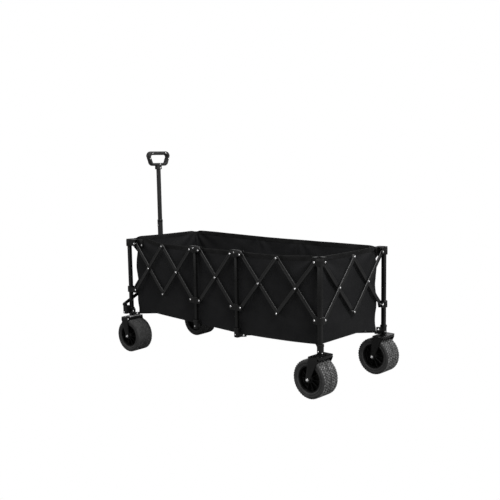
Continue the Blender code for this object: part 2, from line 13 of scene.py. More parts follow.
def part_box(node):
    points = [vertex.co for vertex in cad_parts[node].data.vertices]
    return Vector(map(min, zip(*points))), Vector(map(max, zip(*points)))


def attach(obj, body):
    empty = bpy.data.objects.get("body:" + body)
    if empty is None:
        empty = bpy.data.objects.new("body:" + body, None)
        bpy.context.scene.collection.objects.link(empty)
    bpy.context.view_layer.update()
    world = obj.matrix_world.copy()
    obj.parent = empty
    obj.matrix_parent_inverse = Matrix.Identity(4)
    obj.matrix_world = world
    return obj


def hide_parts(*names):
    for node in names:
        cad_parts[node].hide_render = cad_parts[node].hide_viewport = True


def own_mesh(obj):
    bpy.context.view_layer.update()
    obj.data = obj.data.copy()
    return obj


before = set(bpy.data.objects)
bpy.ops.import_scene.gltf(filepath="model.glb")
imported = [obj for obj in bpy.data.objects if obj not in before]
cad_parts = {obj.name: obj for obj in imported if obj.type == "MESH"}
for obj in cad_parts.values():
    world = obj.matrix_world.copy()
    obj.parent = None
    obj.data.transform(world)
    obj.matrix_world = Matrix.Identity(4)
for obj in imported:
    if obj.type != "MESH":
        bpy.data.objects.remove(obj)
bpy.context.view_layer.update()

# the two middle sliders that lie across from each other give the wagon's centre
CORNERS = [*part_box("slider_left_mid_front"), *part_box("slider_right_mid_rear")]
CENTRE = sum((Vector((c.x, c.y, 0.0)) for c in CORNERS), Vector()) / len(CORNERS)
MOVE = Matrix.Translation(CENTRE)

# camera: its turn from the left side towards the rear, its height and its roll, in degrees
CAMERA_ANGLES = (43.36, 6.92, 0.971)
CAMERA_TARGET = Vector((-0.1557, 0.1671, 0.5650))
CAMERA_DISTANCE = 4.0945
CAMERA_LENS = 53.36
FLOOR_SHADE = 0.24
ROOM_LIGHT = 0.45
# name, place, height of the point it is aimed at, width, height, power
LIGHTS = (("key", (3.2, -1.2, 3.0), 0.3, 1.1, 1.1, 100), ("top", (0.6, -0.4, 3.6), 0.4, 2.0, 2.0, 60),
          ("fill", (-1.6, -3.2, 1.8), 0.4, 2.4, 1.6, 10), ("back", (0.4, 3.4, 2.6), 0.4, 2.6, 1.2, 45))
WHITE = (1.0, 1.0, 1.0, 1.0)

# frame; the tubes are a little thicker than in the CAD
CELL = 0.2275
CORNER_OFFSET = 0.024
MIDDLE_OFFSET = 0.0325
Z_TOP = 0.609
Z_LOW = 0.350
HALF_WIDTH = CELL + CORNER_OFFSET
MIDDLE_X = CELL / 2 + MIDDLE_OFFSET
HALF_LENGTH = MIDDLE_X + MIDDLE_OFFSET + 2 * CELL + CORNER_OFFSET
FRONT_EXTRA = 0.030
FRONT_X = -HALF_LENGTH - FRONT_EXTRA
REAR_X = HALF_LENGTH
LINK_WIDTH = 0.0190
LINK_THICKNESS = 0.008
LINK_END = 0.0095
LINK_PRESS = 0.62              # thickness of the pressed ends as a share of the tube's
LINK_RUN = 0.030               # from the end's rivet to where the tube has its full thickness
LINK_GROOVE = 0.0007
LINK_CLEARANCE = 0.0005
OUTER_LAYER = 0.0055
INNER_LAYER = -0.0030
CORNER_TUBE = 0.0195
MIDDLE_TUBE = 0.0160
CORNER_BRACKET = 0.0276
MIDDLE_BRACKET = 0.0260
CAP_BOTTOM = 0.588
CAP_TOP = 0.632
PLATE_NEAR = 0.0101            # bracket plates lie just outside the outer links
PLATE_FAR = 0.0125
BACK_PLATE = 0.003
ARCH_BACK = -0.0010            # how far the raised rim of the middle brackets reaches inwards
ARCH_RADIUS = 0.022
ARCH_RIM = 0.0026
TAB_BACK = -0.0150             # plates that hold the bag, behind the inner links
TAB_FRONT = TAB_BACK + 0.0045
PIN_RADIUS = 0.0030
SPACER_RADIUS = 0.0062
SPACER_LENGTH = 0.0046
CORNER_FOOT = 0.0250
MIDDLE_FOOT = 0.0270
FOOT_BOTTOM = 0.1985
FOOT_TOP = 0.245
FOOT_LUG_REACH = 0.040
FOOT_LUG_WIDTH = 0.012
FOOT_LUG_BOTTOM = 0.2000
FOOT_LUG_TOP = 0.2150
FOOT_LUG_RIVET = 0.030
REAR_PLATE = ((0.008, 0.2060), (0.0355, 0.2335))      # taller plate on a rear foot's lug
REAR_PLATE_RIVET = (0.0265, 0.2225)
SIDE_RIVET_Z = 0.228
PIVOT_RIVET_Z = 0.219
STRUT_Z = 0.2100
STRUT_START = 0.027
FLOOR_HUB_BOTTOM = 0.1905
FLOOR_HUB_TOP = 0.2148
HUB_EDGE = 0.0415              # from a floor hub's middle to where its struts begin

# running gear
WHEEL_RADIUS = 0.090
WHEEL_WIDTH = 0.104
RIM_RADIUS = 0.0605            # the dark opening inside the tyre's bead
AXLE_BORE = 0.0066
RIM_SPOKES = 10
TREAD_ROWS = 9
TREAD_COUNT = 44
FORK_PLATE_BOTTOM = 0.1845
FORK_PLATE_TOP = 0.1945
FORK_LEG = 0.005
FORK_INSIDE = 0.0535
FORK_HALF = 0.030
FORK_LEG_HALF = 0.026
FORK_TIP_RADIUS = 0.012
NECK_RADIUS = 0.021
REAR_TRAIL = -0.028
FRONT_TRAIL = 0.020
CASTER_TURN = radians(4)
PEDAL_HINGE_X = -0.0370
PEDAL_HINGE_Z = 0.1875
PEDAL_LENGTH = 0.044
PEDAL_HALF = 0.018
PEDAL_DROOP = radians(35)

# handle
HANDLE_X = FRONT_X - 0.0300
YOKE_FOOT_Y = HALF_WIDTH + 0.030
YOKE_FOOT_Z = 0.262
HUB_PIN_Y = 0.0225
HUB_Z = 0.385
HUB_HALF = 0.0350
HUB_BOTTOM = HUB_Z - 0.0160
HUB_TOP = HUB_Z + 0.0115
EAR_BOTTOM = HUB_Z + 0.0215
EAR_FRONT = 0.014
EAR_THICKNESS = 0.005
EAR_INSIDE = 0.0178            # leaves 3 mm beside the lower tube
TILT_Z = HUB_Z + 0.032
LOWER_TUBE_RADIUS = 0.0148
LOWER_TUBE_BORE = 0.0132
LOWER_TUBE_TOP = 0.722
UPPER_TUBE_RADIUS = 0.0126
UPPER_TUBE_BORE = 0.0110
UPPER_TUBE_BOTTOM = 0.680
GRIP_BOTTOM = 1.014
GRIP_LOOP_BOTTOM = 1.034
GRIP_TOP = 1.117
GRIP_HALF_TOP = 0.078
GRIP_HALF_LOW = 0.066
GRIP_DEPTH = 0.030
GRIP_SIDE = 0.0165
GRIP_LOWER = 0.0165
GRIP_UPPER = 0.0210
GRIP_ROUNDING = 0.026
GRIP_INNER_ROUNDING = 0.013
GRIP_INNER_FLARE = 0.003
GRIP_NECK_HALF = 0.019
GRIP_SIDES = 20
GRIP_SQUARENESS = 0.42         # below 1 squares off the bar's section

# bag
BAG_FRONT_X = FRONT_X + 0.024
BAG_REAR_X = REAR_X - 0.020
BAG_HALF_Y = HALF_WIDTH - 0.019
BAG_BOTTOM = 0.2165
BAG_TOP = 0.626
BAG_ROUNDING = 0.022
TIES = [(x, y) for x in (BAG_FRONT_X, -MIDDLE_X, MIDDLE_X, BAG_REAR_X)
        for y in (-BAG_HALF_Y, BAG_HALF_Y)]
LOWER_EDGE_LEFT = 0.2130
LOWER_EDGE_RIGHT = 0.2150
RIM_LEFT = 0.6170
RIM_RIGHT = 0.6335
RIM_SAG = 0.012                # four times the sag half-way between the sides
CORNER_DIP = 0.009
BELLY = 0.0045
CORNER_FOLDS = (0.0075, 11)    # depth and number of the folds that fan out from a tie
MIDDLE_FOLDS = (0.0040, 8)
FOLD_REACH = 0.30
FLOOR_RISE_REACH = 0.045       # how far in from the walls the floor rises
CLOTH = 0.0016
YARN_PITCH = 0.0011            # threads of the cloth, crest to crest
STITCH = 0.0042
GRID = 0.011
ROWS = 38
HEM_LOW = 1 - 0.022 / (BAG_TOP - BAG_BOTTOM)    # the hem's lower edge as a share of the height
FLOOR_STRIP = 0.0725
FLOOR_OVERLAP = 0.006

# how far the posts travel when the wagon is folded
CORNER_FOLD_X = 0.3125
MIDDLE_FOLD_X = 0.0625
FOLD_Y = 0.125

# turns a profile drawn in X and Z, or one along X, so that a prism stands the right way
SIDEWAYS = Matrix(((1, 0, 0, 0), (0, 0, 1, 0), (0, 1, 0, 0), (0, 0, 0, 1)))
FORWARDS = Matrix(((0, 0, 1, 0), (1, 0, 0, 0), (0, 1, 0, 0), (0, 0, 0, 1)))

WALLS = ("left", "rear", "right", "front")

# name, darkest and lightest shade, roughness from and to, scale of the grain and of the patches,
# strength and depth of the bumps, specular level, metallic
FINISHES = {
    "frame": ("powder_coat_black", 0.0026, 0.0050, 0.24, 0.34, 900.0, 14.0, 0.12, 0.0004, 0.36, 0),
    "link": ("link_paint_black", 0.0075, 0.0125, 0.28, 0.38, 900.0, 14.0, 0.12, 0.0004, 0.40, 0),
    "plastic": ("moulded_black_plastic", 0.0026, 0.0052, 0.28, 0.40, 650.0, 18.0, 0.16, 0.0004, 0.36, 0),
    "rubber": ("tyre_rubber", 0.024, 0.042, 0.62, 0.85, 420.0, 30.0, 0.35, 0.0006, 0.36, 0),
    # the two treads are one rubber in a lit and a shaded copy: the rear one is lighter as painted light, and
    # its bright speckles stand for worn block edges and painted highlights; the front one is darker, as
    # painted shade under the bag
    "tread": ("tread_rubber_dust_and_painted_light", 0.030, 0.300, 0.60, 0.88, 300.0, 110.0, 0.5, 0.0008, 0.42, 0),
    "tread_front": ("tread_rubber_painted_shade", 0.024, 0.110, 0.60, 0.88, 300.0, 110.0, 0.5, 0.0008, 0.36, 0),
    "rim": ("rim_plastic", 0.0022, 0.0042, 0.44, 0.60, 500.0, 16.0, 0.12, 0.0004, 0.22, 0),
    "zinc": ("zinc_rivet", 0.90, 0.98, 0.36, 0.48, 700.0, 60.0, 0.08, 0.0003, 0.5, 1),
    "steel": ("bearing_steel", 0.38, 0.55, 0.26, 0.42, 500.0, 50.0, 0.10, 0.0003, 0.5, 1),
    "handle": ("handle_paint_black", 0.012, 0.018, 0.28, 0.42, 800.0, 10.0, 0.08, 0.0003, 0.45, 0),
    "grip": ("grip_soft_plastic", 0.015, 0.023, 0.46, 0.62, 1100.0, 20.0, 0.30, 0.0005, 0.36, 0),
    "binding": ("binding_tape_black", 0.0074, 0.0138, 0.70, 0.88, 1400.0, 25.0, 0.4, 0.0004, 0.12, 0),
    "thread": ("sewing_thread", 0.013, 0.020, 0.6, 0.8, 2000.0, 60.0, 0.4, 0.0003, 0.15, 0),
}


def put_in_scene(name, data):
    thing = bpy.data.objects.new(name, data)
    bpy.context.scene.collection.objects.link(thing)
    return thing


def mesh_from(name, bm):
    mesh = bpy.data.meshes.new(name)
    bm.to_mesh(mesh)
    bm.free()
    return mesh


# ---------------------------------------------------------------- materials

class Nodes:
    """A short way to build the node tree of a material or world."""

    def __init__(self, owner):
        owner.use_nodes = True
        self.owner, self.tree = owner, owner.node_tree
        self.shader = self.tree.nodes.get("Principled BSDF")

    def set(self, node, **values):
        for key, value in values.items():
            node.inputs[key.replace("_", " ")].default_value = value
        return node

    def add(self, kind, **values):
        return self.set(self.tree.nodes.new("ShaderNode" + kind), **values)

    def link(self, out, into):
        self.tree.links.new(out, into)

    def math(self, operation, *values):
        node = self.add("Math")
        node.operation = operation
        for slot, value in enumerate(values):
            if isinstance(value, (int, float)):
                node.inputs[slot].default_value = value
            else:
                self.link(value, node.inputs[slot])
        return node.outputs[0]

    def noise(self, scale, detail, roughness=0.55):
        node = self.add("TexNoise", Scale=scale, Detail=detail, Roughness=roughness)
        self.link(self.add("TexCoord").outputs["Object"], node.inputs["Vector"])
        return node.outputs["Fac"]

    def ramp(self, value, stops, socket):
        """Two shades or levels between two positions, led to one of the shader's sockets."""
        node = self.add("ValToRGB")
        for element, (position, shade) in zip(node.color_ramp.elements, stops):
            element.position = position
            element.color = (*shade, 1.0) if hasattr(shade, "__len__") else (shade, shade, shade, 1.0)
        self.link(value, node.inputs[0])
        self.link(node.outputs[0], self.shader.inputs[socket])

    def bump(self, height, strength, distance):
        node = self.add("Bump", Strength=strength, Distance=distance)
        self.link(height, node.inputs["Height"])
        self.link(node.outputs[0], self.shader.inputs["Normal"])

    def join_white(self, given, kind, output):
        """The camera sees plain white here, while the wagon still gets the given, softer light."""
        seen = self.add(kind, Color=WHITE, Strength=1.0)
        mix = self.add("MixShader")
        camera_ray = self.add("LightPath").outputs["Is Camera Ray"]
        for slot, out in enumerate((camera_ray, given, seen.outputs[0])):
            self.link(out, mix.inputs[slot])
        self.link(mix.outputs[0], self.tree.nodes[output].inputs["Surface"])


def plain_material(name, dark, light, rough_from, rough_to, grain, patch, strength, depth, specular,
                   metallic):
    """A finish whose shade and gloss drift in patches, over a fine surface grain."""
    nodes = Nodes(bpy.data.materials.new(name))
    nodes.ramp(nodes.noise(patch, 4.0), ((0.35, dark), (0.68, light)), "Base Color")
    nodes.ramp(nodes.noise(patch * 2.3, 5.0, 0.65), ((0.3, rough_from), (0.7, rough_to)), "Roughness")
    nodes.set(nodes.shader, Metallic=float(metallic), Specular_IOR_Level=specular)
    nodes.bump(nodes.noise(grain, 2.0, 0.5), strength, depth)
    return nodes.owner


def fabric_material(name, flat=False):
    """Black polyester in a plain weave: threads cross over and under, and their shade drifts."""
    nodes = Nodes(bpy.data.materials.new(name))
    split = nodes.add("SeparateXYZ")
    nodes.link(nodes.add("TexCoord").outputs["Object"], split.inputs[0])
    x, y, z = split.outputs
    turn = 2 * pi / YARN_PITCH
    warp = nodes.math("SINE", nodes.math("MULTIPLY", x if flat else nodes.math("ADD", x, y), turn))
    weft = nodes.math("SINE", nodes.math("MULTIPLY", y if flat else z, turn))
    weave = nodes.math("MULTIPLY", warp, weft)
    slub = nodes.noise(260.0, 4.0, 0.7)
    patches = nodes.noise(5.0, 5.0, 0.6)
    tone = nodes.math("ADD", nodes.math("MULTIPLY", patches, 0.75),
                      nodes.math("MULTIPLY", nodes.math("ABSOLUTE", weave), 0.25))
    nodes.ramp(tone, ((0.30, (0.0094, 0.0095, 0.0099)), (0.75, (0.0190, 0.0190, 0.0196))), "Base Color")
    nodes.ramp(nodes.noise(9.0, 4.0), ((0.3, 0.72), (0.7, 0.9)), "Roughness")
    nodes.set(nodes.shader, Specular_IOR_Level=0.10, Sheen_Weight=0.02, Sheen_Roughness=0.5,
              Sheen_Tint=(0.8, 0.85, 0.95, 1.0))
    nodes.bump(nodes.math("ADD", nodes.math("MULTIPLY", weave, 0.5), nodes.math("MULTIPLY", slub, 0.7)),
               0.35, 0.0006)
    return nodes.owner


def make_materials():
    made = {finish: plain_material(*values) for finish, values in FINISHES.items()}
    made["fabric"] = fabric_material("oxford_cloth_black")
    made["floor_cloth"] = fabric_material("oxford_cloth_floor", flat=True)
    return made


# ---------------------------------------------------------------- stage, camera and light

def make_camera():
    azimuth, elevation, roll = (radians(angle) for angle in CAMERA_ANGLES)
    back = Vector((sin(azimuth) * cos(elevation), -cos(azimuth) * cos(elevation), sin(elevation)))
    data = bpy.data.cameras.new("camera")
    data.lens = CAMERA_LENS
    data.sensor_width = 36.0
    camera = put_in_scene("camera", data)
    turn = back.to_track_quat("Z", "Y").to_matrix().to_4x4() @ Matrix.Rotation(-roll, 4, "Z")
    camera.matrix_world = Matrix.Translation(CAMERA_TARGET + CENTRE + back * CAMERA_DISTANCE) @ turn
    bpy.context.scene.camera = camera


def make_stage():
    bm = bmesh.new()
    bmesh.ops.create_grid(bm, x_segments=1, y_segments=1, size=40.0)
    floor = put_in_scene("floor", mesh_from("floor", bm))
    floor.location.z = -0.0005
    nodes = Nodes(bpy.data.materials.new("floor_white"))
    nodes.set(nodes.shader, Base_Color=(*[FLOOR_SHADE] * 3, 1.0), Roughness=0.9, Specular_IOR_Level=0.0)
    nodes.join_white(nodes.shader.outputs[0], "Emission", "Material Output")
    floor.data.materials.append(nodes.owner)
    nodes = Nodes(bpy.data.worlds.new("studio"))
    given = nodes.set(nodes.tree.nodes["Background"], Color=WHITE, Strength=ROOM_LIGHT)
    nodes.join_white(given.outputs[0], "Background", "World Output")
    bpy.context.scene.world = nodes.owner
    bpy.context.scene.view_settings.view_transform = "Standard"
    for name, spot, aimed_at, wide, high, power in LIGHTS:
        data = bpy.data.lights.new(name, "AREA")
        data.shape = "RECTANGLE"
        data.size, data.size_y, data.energy = wide, high, power
        light = put_in_scene(name, data)
        light.matrix_world = aim(spot, Vector(spot) - Vector((0.0, 0.0, aimed_at)))


# ---------------------------------------------------------------- mesh helpers

def add(bm, part, matrix=None):
    """Put one bmesh's geometry into another and drop it."""
    if matrix is not None:
        part.transform(matrix)
    mesh = bpy.data.meshes.new("part")
    part.to_mesh(mesh)
    part.free()
    bm.from_mesh(mesh)
    bpy.data.meshes.remove(mesh)


def bridge(bm, rings):
    """Faces between each closed ring of points and the next one."""
    for one, two in zip(rings, rings[1:]):
        for k in range(len(one)):
            after = (k + 1) % len(one)
            bm.faces.new((one[k], one[after], two[after], two[k]))


def face_outwards(bm):
    bmesh.ops.recalc_face_normals(bm, faces=bm.faces)


def stand_at(x, y, z=0.0, turn=0.0):
    """A matrix for a part that stands upright at a place, turned about Z."""
    return Matrix.Translation((x, y, z)) @ Matrix.Rotation(turn, 4, "Z")


def ease(value):
    """0 up to 0, 1 from 1 on, and a smooth rise between."""
    value = min(1.0, max(0.0, value))
    return value * value * (3 - 2 * value)


def prism(outline, low, high, bevel=0.0, segments=2):
    """A closed outline in X and Y, extruded along Z, with rounded rims."""
    bm = bmesh.new()
    bottom, top = ([bm.verts.new((x, y, z)) for x, y in outline] for z in (low, high))
    rims = [bm.faces.new(list(reversed(bottom))), bm.faces.new(top)]
    bridge(bm, [bottom, top])
    face_outwards(bm)
    if bevel:
        edges = {edge for face in rims for edge in face.edges}
        bmesh.ops.bevel(bm, geom=list(edges), offset=bevel, segments=segments, profile=0.5,
                        affect="EDGES", clamp_overlap=True)
    return bm


def arc(x, y, radius, first, last, steps):
    angles = [radians(first + (last - first) * step / steps) for step in range(steps + 1)]
    return [(x + radius * cos(a), y + radius * sin(a)) for a in angles]


def rounded(low, high, radii, steps=5):
    """A rectangle's outline with its own radius at each corner: low left, low right, up right, up left."""
    if not hasattr(radii, "__len__"):
        radii = (radii,) * 4
    (x0, y0), (x1, y1) = low, high
    a, b, c, d = radii
    return (arc(x0 + a, y0 + a, a, 180, 270, steps) + arc(x1 - b, y0 + b, b, 270, 360, steps)
            + arc(x1 - c, y1 - c, c, 0, 90, steps) + arc(x0 + d, y1 - d, d, 90, 180, steps))


def block(low, high, rounding, bevel=0.0008, steps=3):
    """An upright block with rounded corners in plan and softened rims."""
    outline = rounded(low[:2], high[:2], rounding, steps)
    return prism(outline, low[2], high[2], bevel)


def turned(profile, sides=24, closed=False):
    """A profile of (radius, height) turned about Z; open profiles end on the axis."""
    bm = bmesh.new()
    rings = []
    for radius, height in profile:
        if radius < 1e-6:
            rings.append([bm.verts.new((0.0, 0.0, height))])
            continue
        rings.append([bm.verts.new((radius * cos(2 * pi * k / sides),
                                    radius * sin(2 * pi * k / sides), height))
                      for k in range(sides)])
    pairs = list(zip(rings, rings[1:])) + ([(rings[-1], rings[0])] if closed else [])
    for one, two in pairs:
        for k in range(sides):
            after = (k + 1) % sides
            if len(one) == 1:
                bm.faces.new((one[0], two[after], two[k]))
            elif len(two) == 1:
                bm.faces.new((one[k], one[after], two[0]))
            else:
                bm.faces.new((one[k], one[after], two[after], two[k]))
    face_outwards(bm)
    return bm


def rod(radius, length, sides=24, bevel=0.0006):
    return turned([(0, 0), (radius - bevel, 0), (radius, bevel), (radius, length - bevel),
                   (radius - bevel, length), (0, length)], sides)


def dome(radius=0.0046, height=0.0024):
    """A rivet's head on its small washer, standing on the XY plane."""
    return turned([(0, 0), (radius * 1.22, 0), (radius * 1.22, height * 0.18), (radius, height * 0.22),
                   (radius * 0.93, height * 0.55), (radius * 0.72, height * 0.84),
                   (radius * 0.38, height * 0.97), (0, height)], 16)


def hexagon(radius, height):
    return prism(arc(0.0, 0.0, radius, 30, 330, 5), 0.0, height, height * 0.12, 1)


def nut(radius=0.0080, height=0.0055):
    """A lock nut on its washer, with the end of the bolt standing out of it."""
    bm = turned([(0, 0), (radius * 1.25, 0), (radius * 1.25, 0.0012), (0, 0.0012)], 24)
    add(bm, hexagon(radius, height), Matrix.Translation((0, 0, 0.0012)))
    bolt = turned([(0, 0), (radius * 0.55, 0), (radius * 0.55, height * 0.5),
                   (radius * 0.3, height * 0.75), (0, height * 0.8)], 16)
    add(bm, bolt, Matrix.Translation((0, 0, height + 0.0010)))
    return bm


def aim(point, direction):
    """A matrix that takes the origin to a point and +Z to a direction."""
    turn = Vector(direction).normalized().to_track_quat("Z", "Y").to_matrix().to_4x4()
    return Matrix.Translation(Vector(point)) @ turn


def emit(name, bm, finish, body, degrees=32, replaces=(), recalc=False):
    """Make a bmesh, built round the wagon's centre, into a piece that rides on a body."""
    if recalc:
        face_outwards(bm)
    bm.transform(MOVE)
    return finish_piece(name, mesh_from(name, bm), finish, body, degrees, replaces)


def finish_piece(name, mesh, finish, body, degrees, replaces=()):
    mesh.shade_smooth()
    mesh.set_sharp_from_angle(angle=radians(degrees))
    mesh.materials.clear()
    mesh.materials.append(MATERIALS[finish])
    piece = put_in_scene(name, mesh)
    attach(piece, body)
    if replaces:
        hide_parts(*replaces)
    return piece


def facing(wall):
    """A frame on a wall's middle plane: X runs to the right seen from outside, Y up, Z outwards."""
    reach = (HALF_WIDTH, REAR_X, HALF_WIDTH, -FRONT_X)[wall]
    stand = Matrix(((1, 0, 0, 0), (0, 0, -1, 0), (0, 1, 0, 0), (0, 0, 0, 1)))
    return Matrix.Rotation(wall * pi / 2, 4, "Z") @ Matrix.Translation((0, -reach, 0)) @ stand


# ---------------------------------------------------------------- scissor links

def link_bar(length):
    """A flat tube along X with soft edges, pressed flatter and rounded off where it is riveted."""
    stations = []
    for step in range(6):
        angle = pi / 2 * (1 - step / 5)
        stations.append((-LINK_END * sin(angle), max(cos(angle), 0.10), LINK_PRESS))
    for share in (0.5, 1.0):
        stations.append((LINK_RUN * share, 1.0, LINK_PRESS + (1 - LINK_PRESS) * ease(share)))
    stations += [(length / 2, 1.0, 1.0)] + [(length - x, w, t) for x, w, t in reversed(stations)]
    bm = bmesh.new()
    rings = [[bm.verts.new((x, across * wide, deep * thick)) for across, deep in link_section()]
             for x, wide, thick in stations]
    bridge(bm, rings)
    bm.faces.new(list(reversed(rings[0])))
    bm.faces.new(rings[-1])
    face_outwards(bm)
    return bm


def link_section():
    """A flat oval with a shallow groove rolled along the middle of each face."""
    half, deep = LINK_WIDTH / 2, LINK_THICKNESS / 2
    quarter = [(half, 0.0), (half * 0.985, deep * 0.42), (half * 0.90, deep * 0.80),
               (half * 0.76, deep * 0.98), (half * 0.60, deep), (half * 0.40, deep - LINK_GROOVE)]
    upper = quarter + [(-across, height) for across, height in reversed(quarter)][:-1]
    return upper + [(-half, 0.0)] + [(across, -height) for across, height in reversed(upper[1:])]


def on_wall(wall, at, z, depth):
    """A place on a wall, with +Z pointing outwards."""
    return aim(facing(wall) @ Vector((at, z, depth)), facing(wall).to_3x3() @ Vector((0, 0, 1)))


def wall_crosses(wall):
    """Left edges of a wall's crosses, and whether the posts stand at their left and right."""
    if wall % 2:
        return [(-CELL, True, False), (0.0, False, True)]
    first = -HALF_LENGTH + CORNER_OFFSET
    last = HALF_LENGTH - CORNER_OFFSET
    return [(first, True, False), (first + CELL, False, True), (-CELL / 2, True, True),
            (last - 2 * CELL, True, False), (last - CELL, False, True)]


def make_links():
    rise = Z_TOP - Z_LOW
    length, slope = hypot(CELL, rise), atan2(rise, CELL)
    for wall, wall_name in enumerate(WALLS):
        crosses = wall_crosses(wall)
        for number, (edge, post_left, post_right) in enumerate(crosses):
            label = number + 1 if wall in (0, 1) else len(crosses) - number
            for layer, depth, low, angle in (("outer", OUTER_LAYER, Z_LOW, slope),
                                             ("inner", INNER_LAYER, Z_TOP, -slope)):
                name = f"link_{wall_name}_{label}_{layer}"
                bar = link_bar(length)
                bar.transform(facing(wall) @ Matrix.Translation((edge, low, depth))
                              @ Matrix.Rotation(angle, 4, "Z"))
                emit("bar_" + name[5:], bar, "link", name, 40, (name,))
                if layer == "outer":
                    rivets = link_rivets(wall, edge, post_left, post_right)
                    emit("rivets_" + name[5:], rivets, "zinc", name)


def link_rivets(wall, edge, post_left, post_right):
    """The crossing's rivet, and the end rivets with their spacers where there is no post."""
    rivets = bmesh.new()
    face = OUTER_LAYER + LINK_THICKNESS / 2 - 0.0012
    add(rivets, dome(), on_wall(wall, edge + CELL / 2, (Z_LOW + Z_TOP) / 2, face))
    pressed_face = OUTER_LAYER + LINK_THICKNESS * LINK_PRESS / 2 - 0.0010
    for at, z, post in ((edge, Z_LOW, post_left), (edge + CELL, Z_TOP, post_right)):
        if not post:
            add(rivets, dome(), on_wall(wall, at, z, pressed_face))
            spacer = turned([(0, 0), (SPACER_RADIUS, 0), (SPACER_RADIUS, SPACER_LENGTH),
                             (0, SPACER_LENGTH)], 20)
            add(rivets, spacer, on_wall(wall, at, z, -0.0012))
    return rivets


# ---------------------------------------------------------------- posts and brackets

def is_corner(x):
    return abs(x) > 2 * MIDDLE_X


def lug_offset(x, wall):
    if not is_corner(x):
        return MIDDLE_OFFSET
    return CORNER_OFFSET + (FRONT_EXTRA if x < 0 and wall % 2 == 0 else 0.0)


def list_posts():
    """Label and place of each post, and the walls that meet there with the side they lie on."""
    posts = []
    corners = (("left_front", 0, 3), ("left_rear", 1, 0), ("right_rear", 2, 1), ("right_front", 3, 2))
    for label, starts, ends in corners:
        x = REAR_X if "rear" in label else FRONT_X
        y = -HALF_WIDTH if "left" in label else HALF_WIDTH
        posts.append((label, x, y, ((starts, 1), (ends, -1))))
    for wall, side_name, y in ((0, "left", -HALF_WIDTH), (2, "right", HALF_WIDTH)):
        for label, x in (("front", -MIDDLE_X), ("rear", MIDDLE_X)):
            posts.append((f"{side_name}_mid_{label}", x, y, ((wall, 1), (wall, -1))))
    return posts


def wall_spot(wall, x, y):
    """Where a post stands along a wall."""
    return (facing(wall).inverted() @ Vector((x, y, 0.0))).x


def ear_layers(side, top):
    """Depth of the link that an ear holds: the outer one or the inner one."""
    return INNER_LAYER if (side > 0) == top else OUTER_LAYER


def ear_plate(bm, wall, at, side, offset, top, half, z_low, z_high, rivets):
    """A bracket's front plate and back plate on one side of a post, with a rivet through them."""
    low, high = sorted((at - side * half * 0.4, at + side * (offset + LINK_END)))
    round_end, round_near = 0.0085, 0.0015
    radii = ((round_near, round_end, round_end, round_near) if side > 0
             else (round_end, round_near, round_near, round_end))
    outline = rounded((low, z_low), (high, z_high), radii, 4)
    back = ear_layers(side, top) - LINK_THICKNESS / 2 - LINK_CLEARANCE
    for near, far in ((PLATE_NEAR, PLATE_FAR), (back - BACK_PLATE, back)):
        add(bm, prism(outline, near, far, 0.0006, 1), facing(wall))
    wall_pin(rivets, wall, at + side * offset, Z_TOP if top else Z_LOW, back)


def wall_rivet(rivets, wall, at, z, depth, radius=0.0041):
    """A rivet's head that faces outwards from a wall."""
    add(rivets, dome(radius, radius * 0.56), on_wall(wall, at, z, depth - 0.0002))


def wall_pin(rivets, wall, at, z, back):
    """A rivet that holds a link between its bracket's front and back plate."""
    wall_rivet(rivets, wall, at, z, PLATE_FAR)
    add(rivets, rod(PIN_RADIUS, PLATE_FAR - back), on_wall(wall, at, z, back))


def make_post(label, x, y, arms):
    corner = is_corner(x)
    body = "post_" + label
    half = (CORNER_TUBE if corner else MIDDLE_TUBE) / 2
    bracket = (CORNER_BRACKET if corner else MIDDLE_BRACKET) / 2
    stand = stand_at(x, y)
    tube, plastic, rivets = bmesh.new(), bmesh.new(), bmesh.new()
    add(tube, block((-half, -half, FOOT_BOTTOM + 0.004), (half, half, CAP_TOP - 0.006), 0.0034,
                    0.0006, 4), stand)
    add(plastic, block((-bracket, -bracket, CAP_BOTTOM + 0.004), (bracket, bracket, CAP_TOP - 0.0045),
                       0.0035, 0.0012), stand)
    if corner:
        corner_cap(plastic, rivets, x, y, arms, bracket)
    else:
        middle_cap(plastic, rivets, arms[0][0], x, y)
    make_foot(x, y, arms, corner, plastic, rivets, stand)
    emit("tube_" + label, tube, "frame", body, 40, (body,))
    emit("bracket_" + label, plastic, "plastic", body, 40)
    emit("rivets_" + label, rivets, "zinc", body)


def corner_cap(plastic, rivets, x, y, arms, bracket):
    """Plates for the links on both walls, under a flat lid, and the tabs that hold the bag."""
    for wall, side in arms:
        at = wall_spot(wall, x, y)
        offset = lug_offset(x, wall)
        ear_plate(plastic, wall, at, side, offset, True, bracket, Z_TOP - 0.0125, CAP_TOP - 0.002, rivets)
        low, high = sorted((at - side * (bracket + 0.001), at + side * (offset + LINK_END)))
        lid = rounded((low, -0.0165), (high, PLATE_FAR + 0.0004), 0.004, 3)
        add(plastic, prism(lid, CAP_TOP - 0.0030, CAP_TOP, 0.0008, 2), facing(wall) @ SIDEWAYS)
        # the tab lies behind the link; the front ones are longer and have a rivet
        reach, rise = (0.048, 0.003) if x < 0 else (0.028, -0.002)
        low, high = sorted((at + side * (offset - 0.006), at + side * (offset + reach)))
        tab = rounded((low, Z_TOP - 0.021), (high, CAP_TOP + rise), 0.008, 4)
        add(plastic, prism(tab, TAB_BACK, TAB_FRONT, 0.0010, 2), facing(wall))
        if x < 0:
            wall_rivet(rivets, wall, at + side * (offset + reach - 0.009), Z_TOP - 0.009, TAB_FRONT)


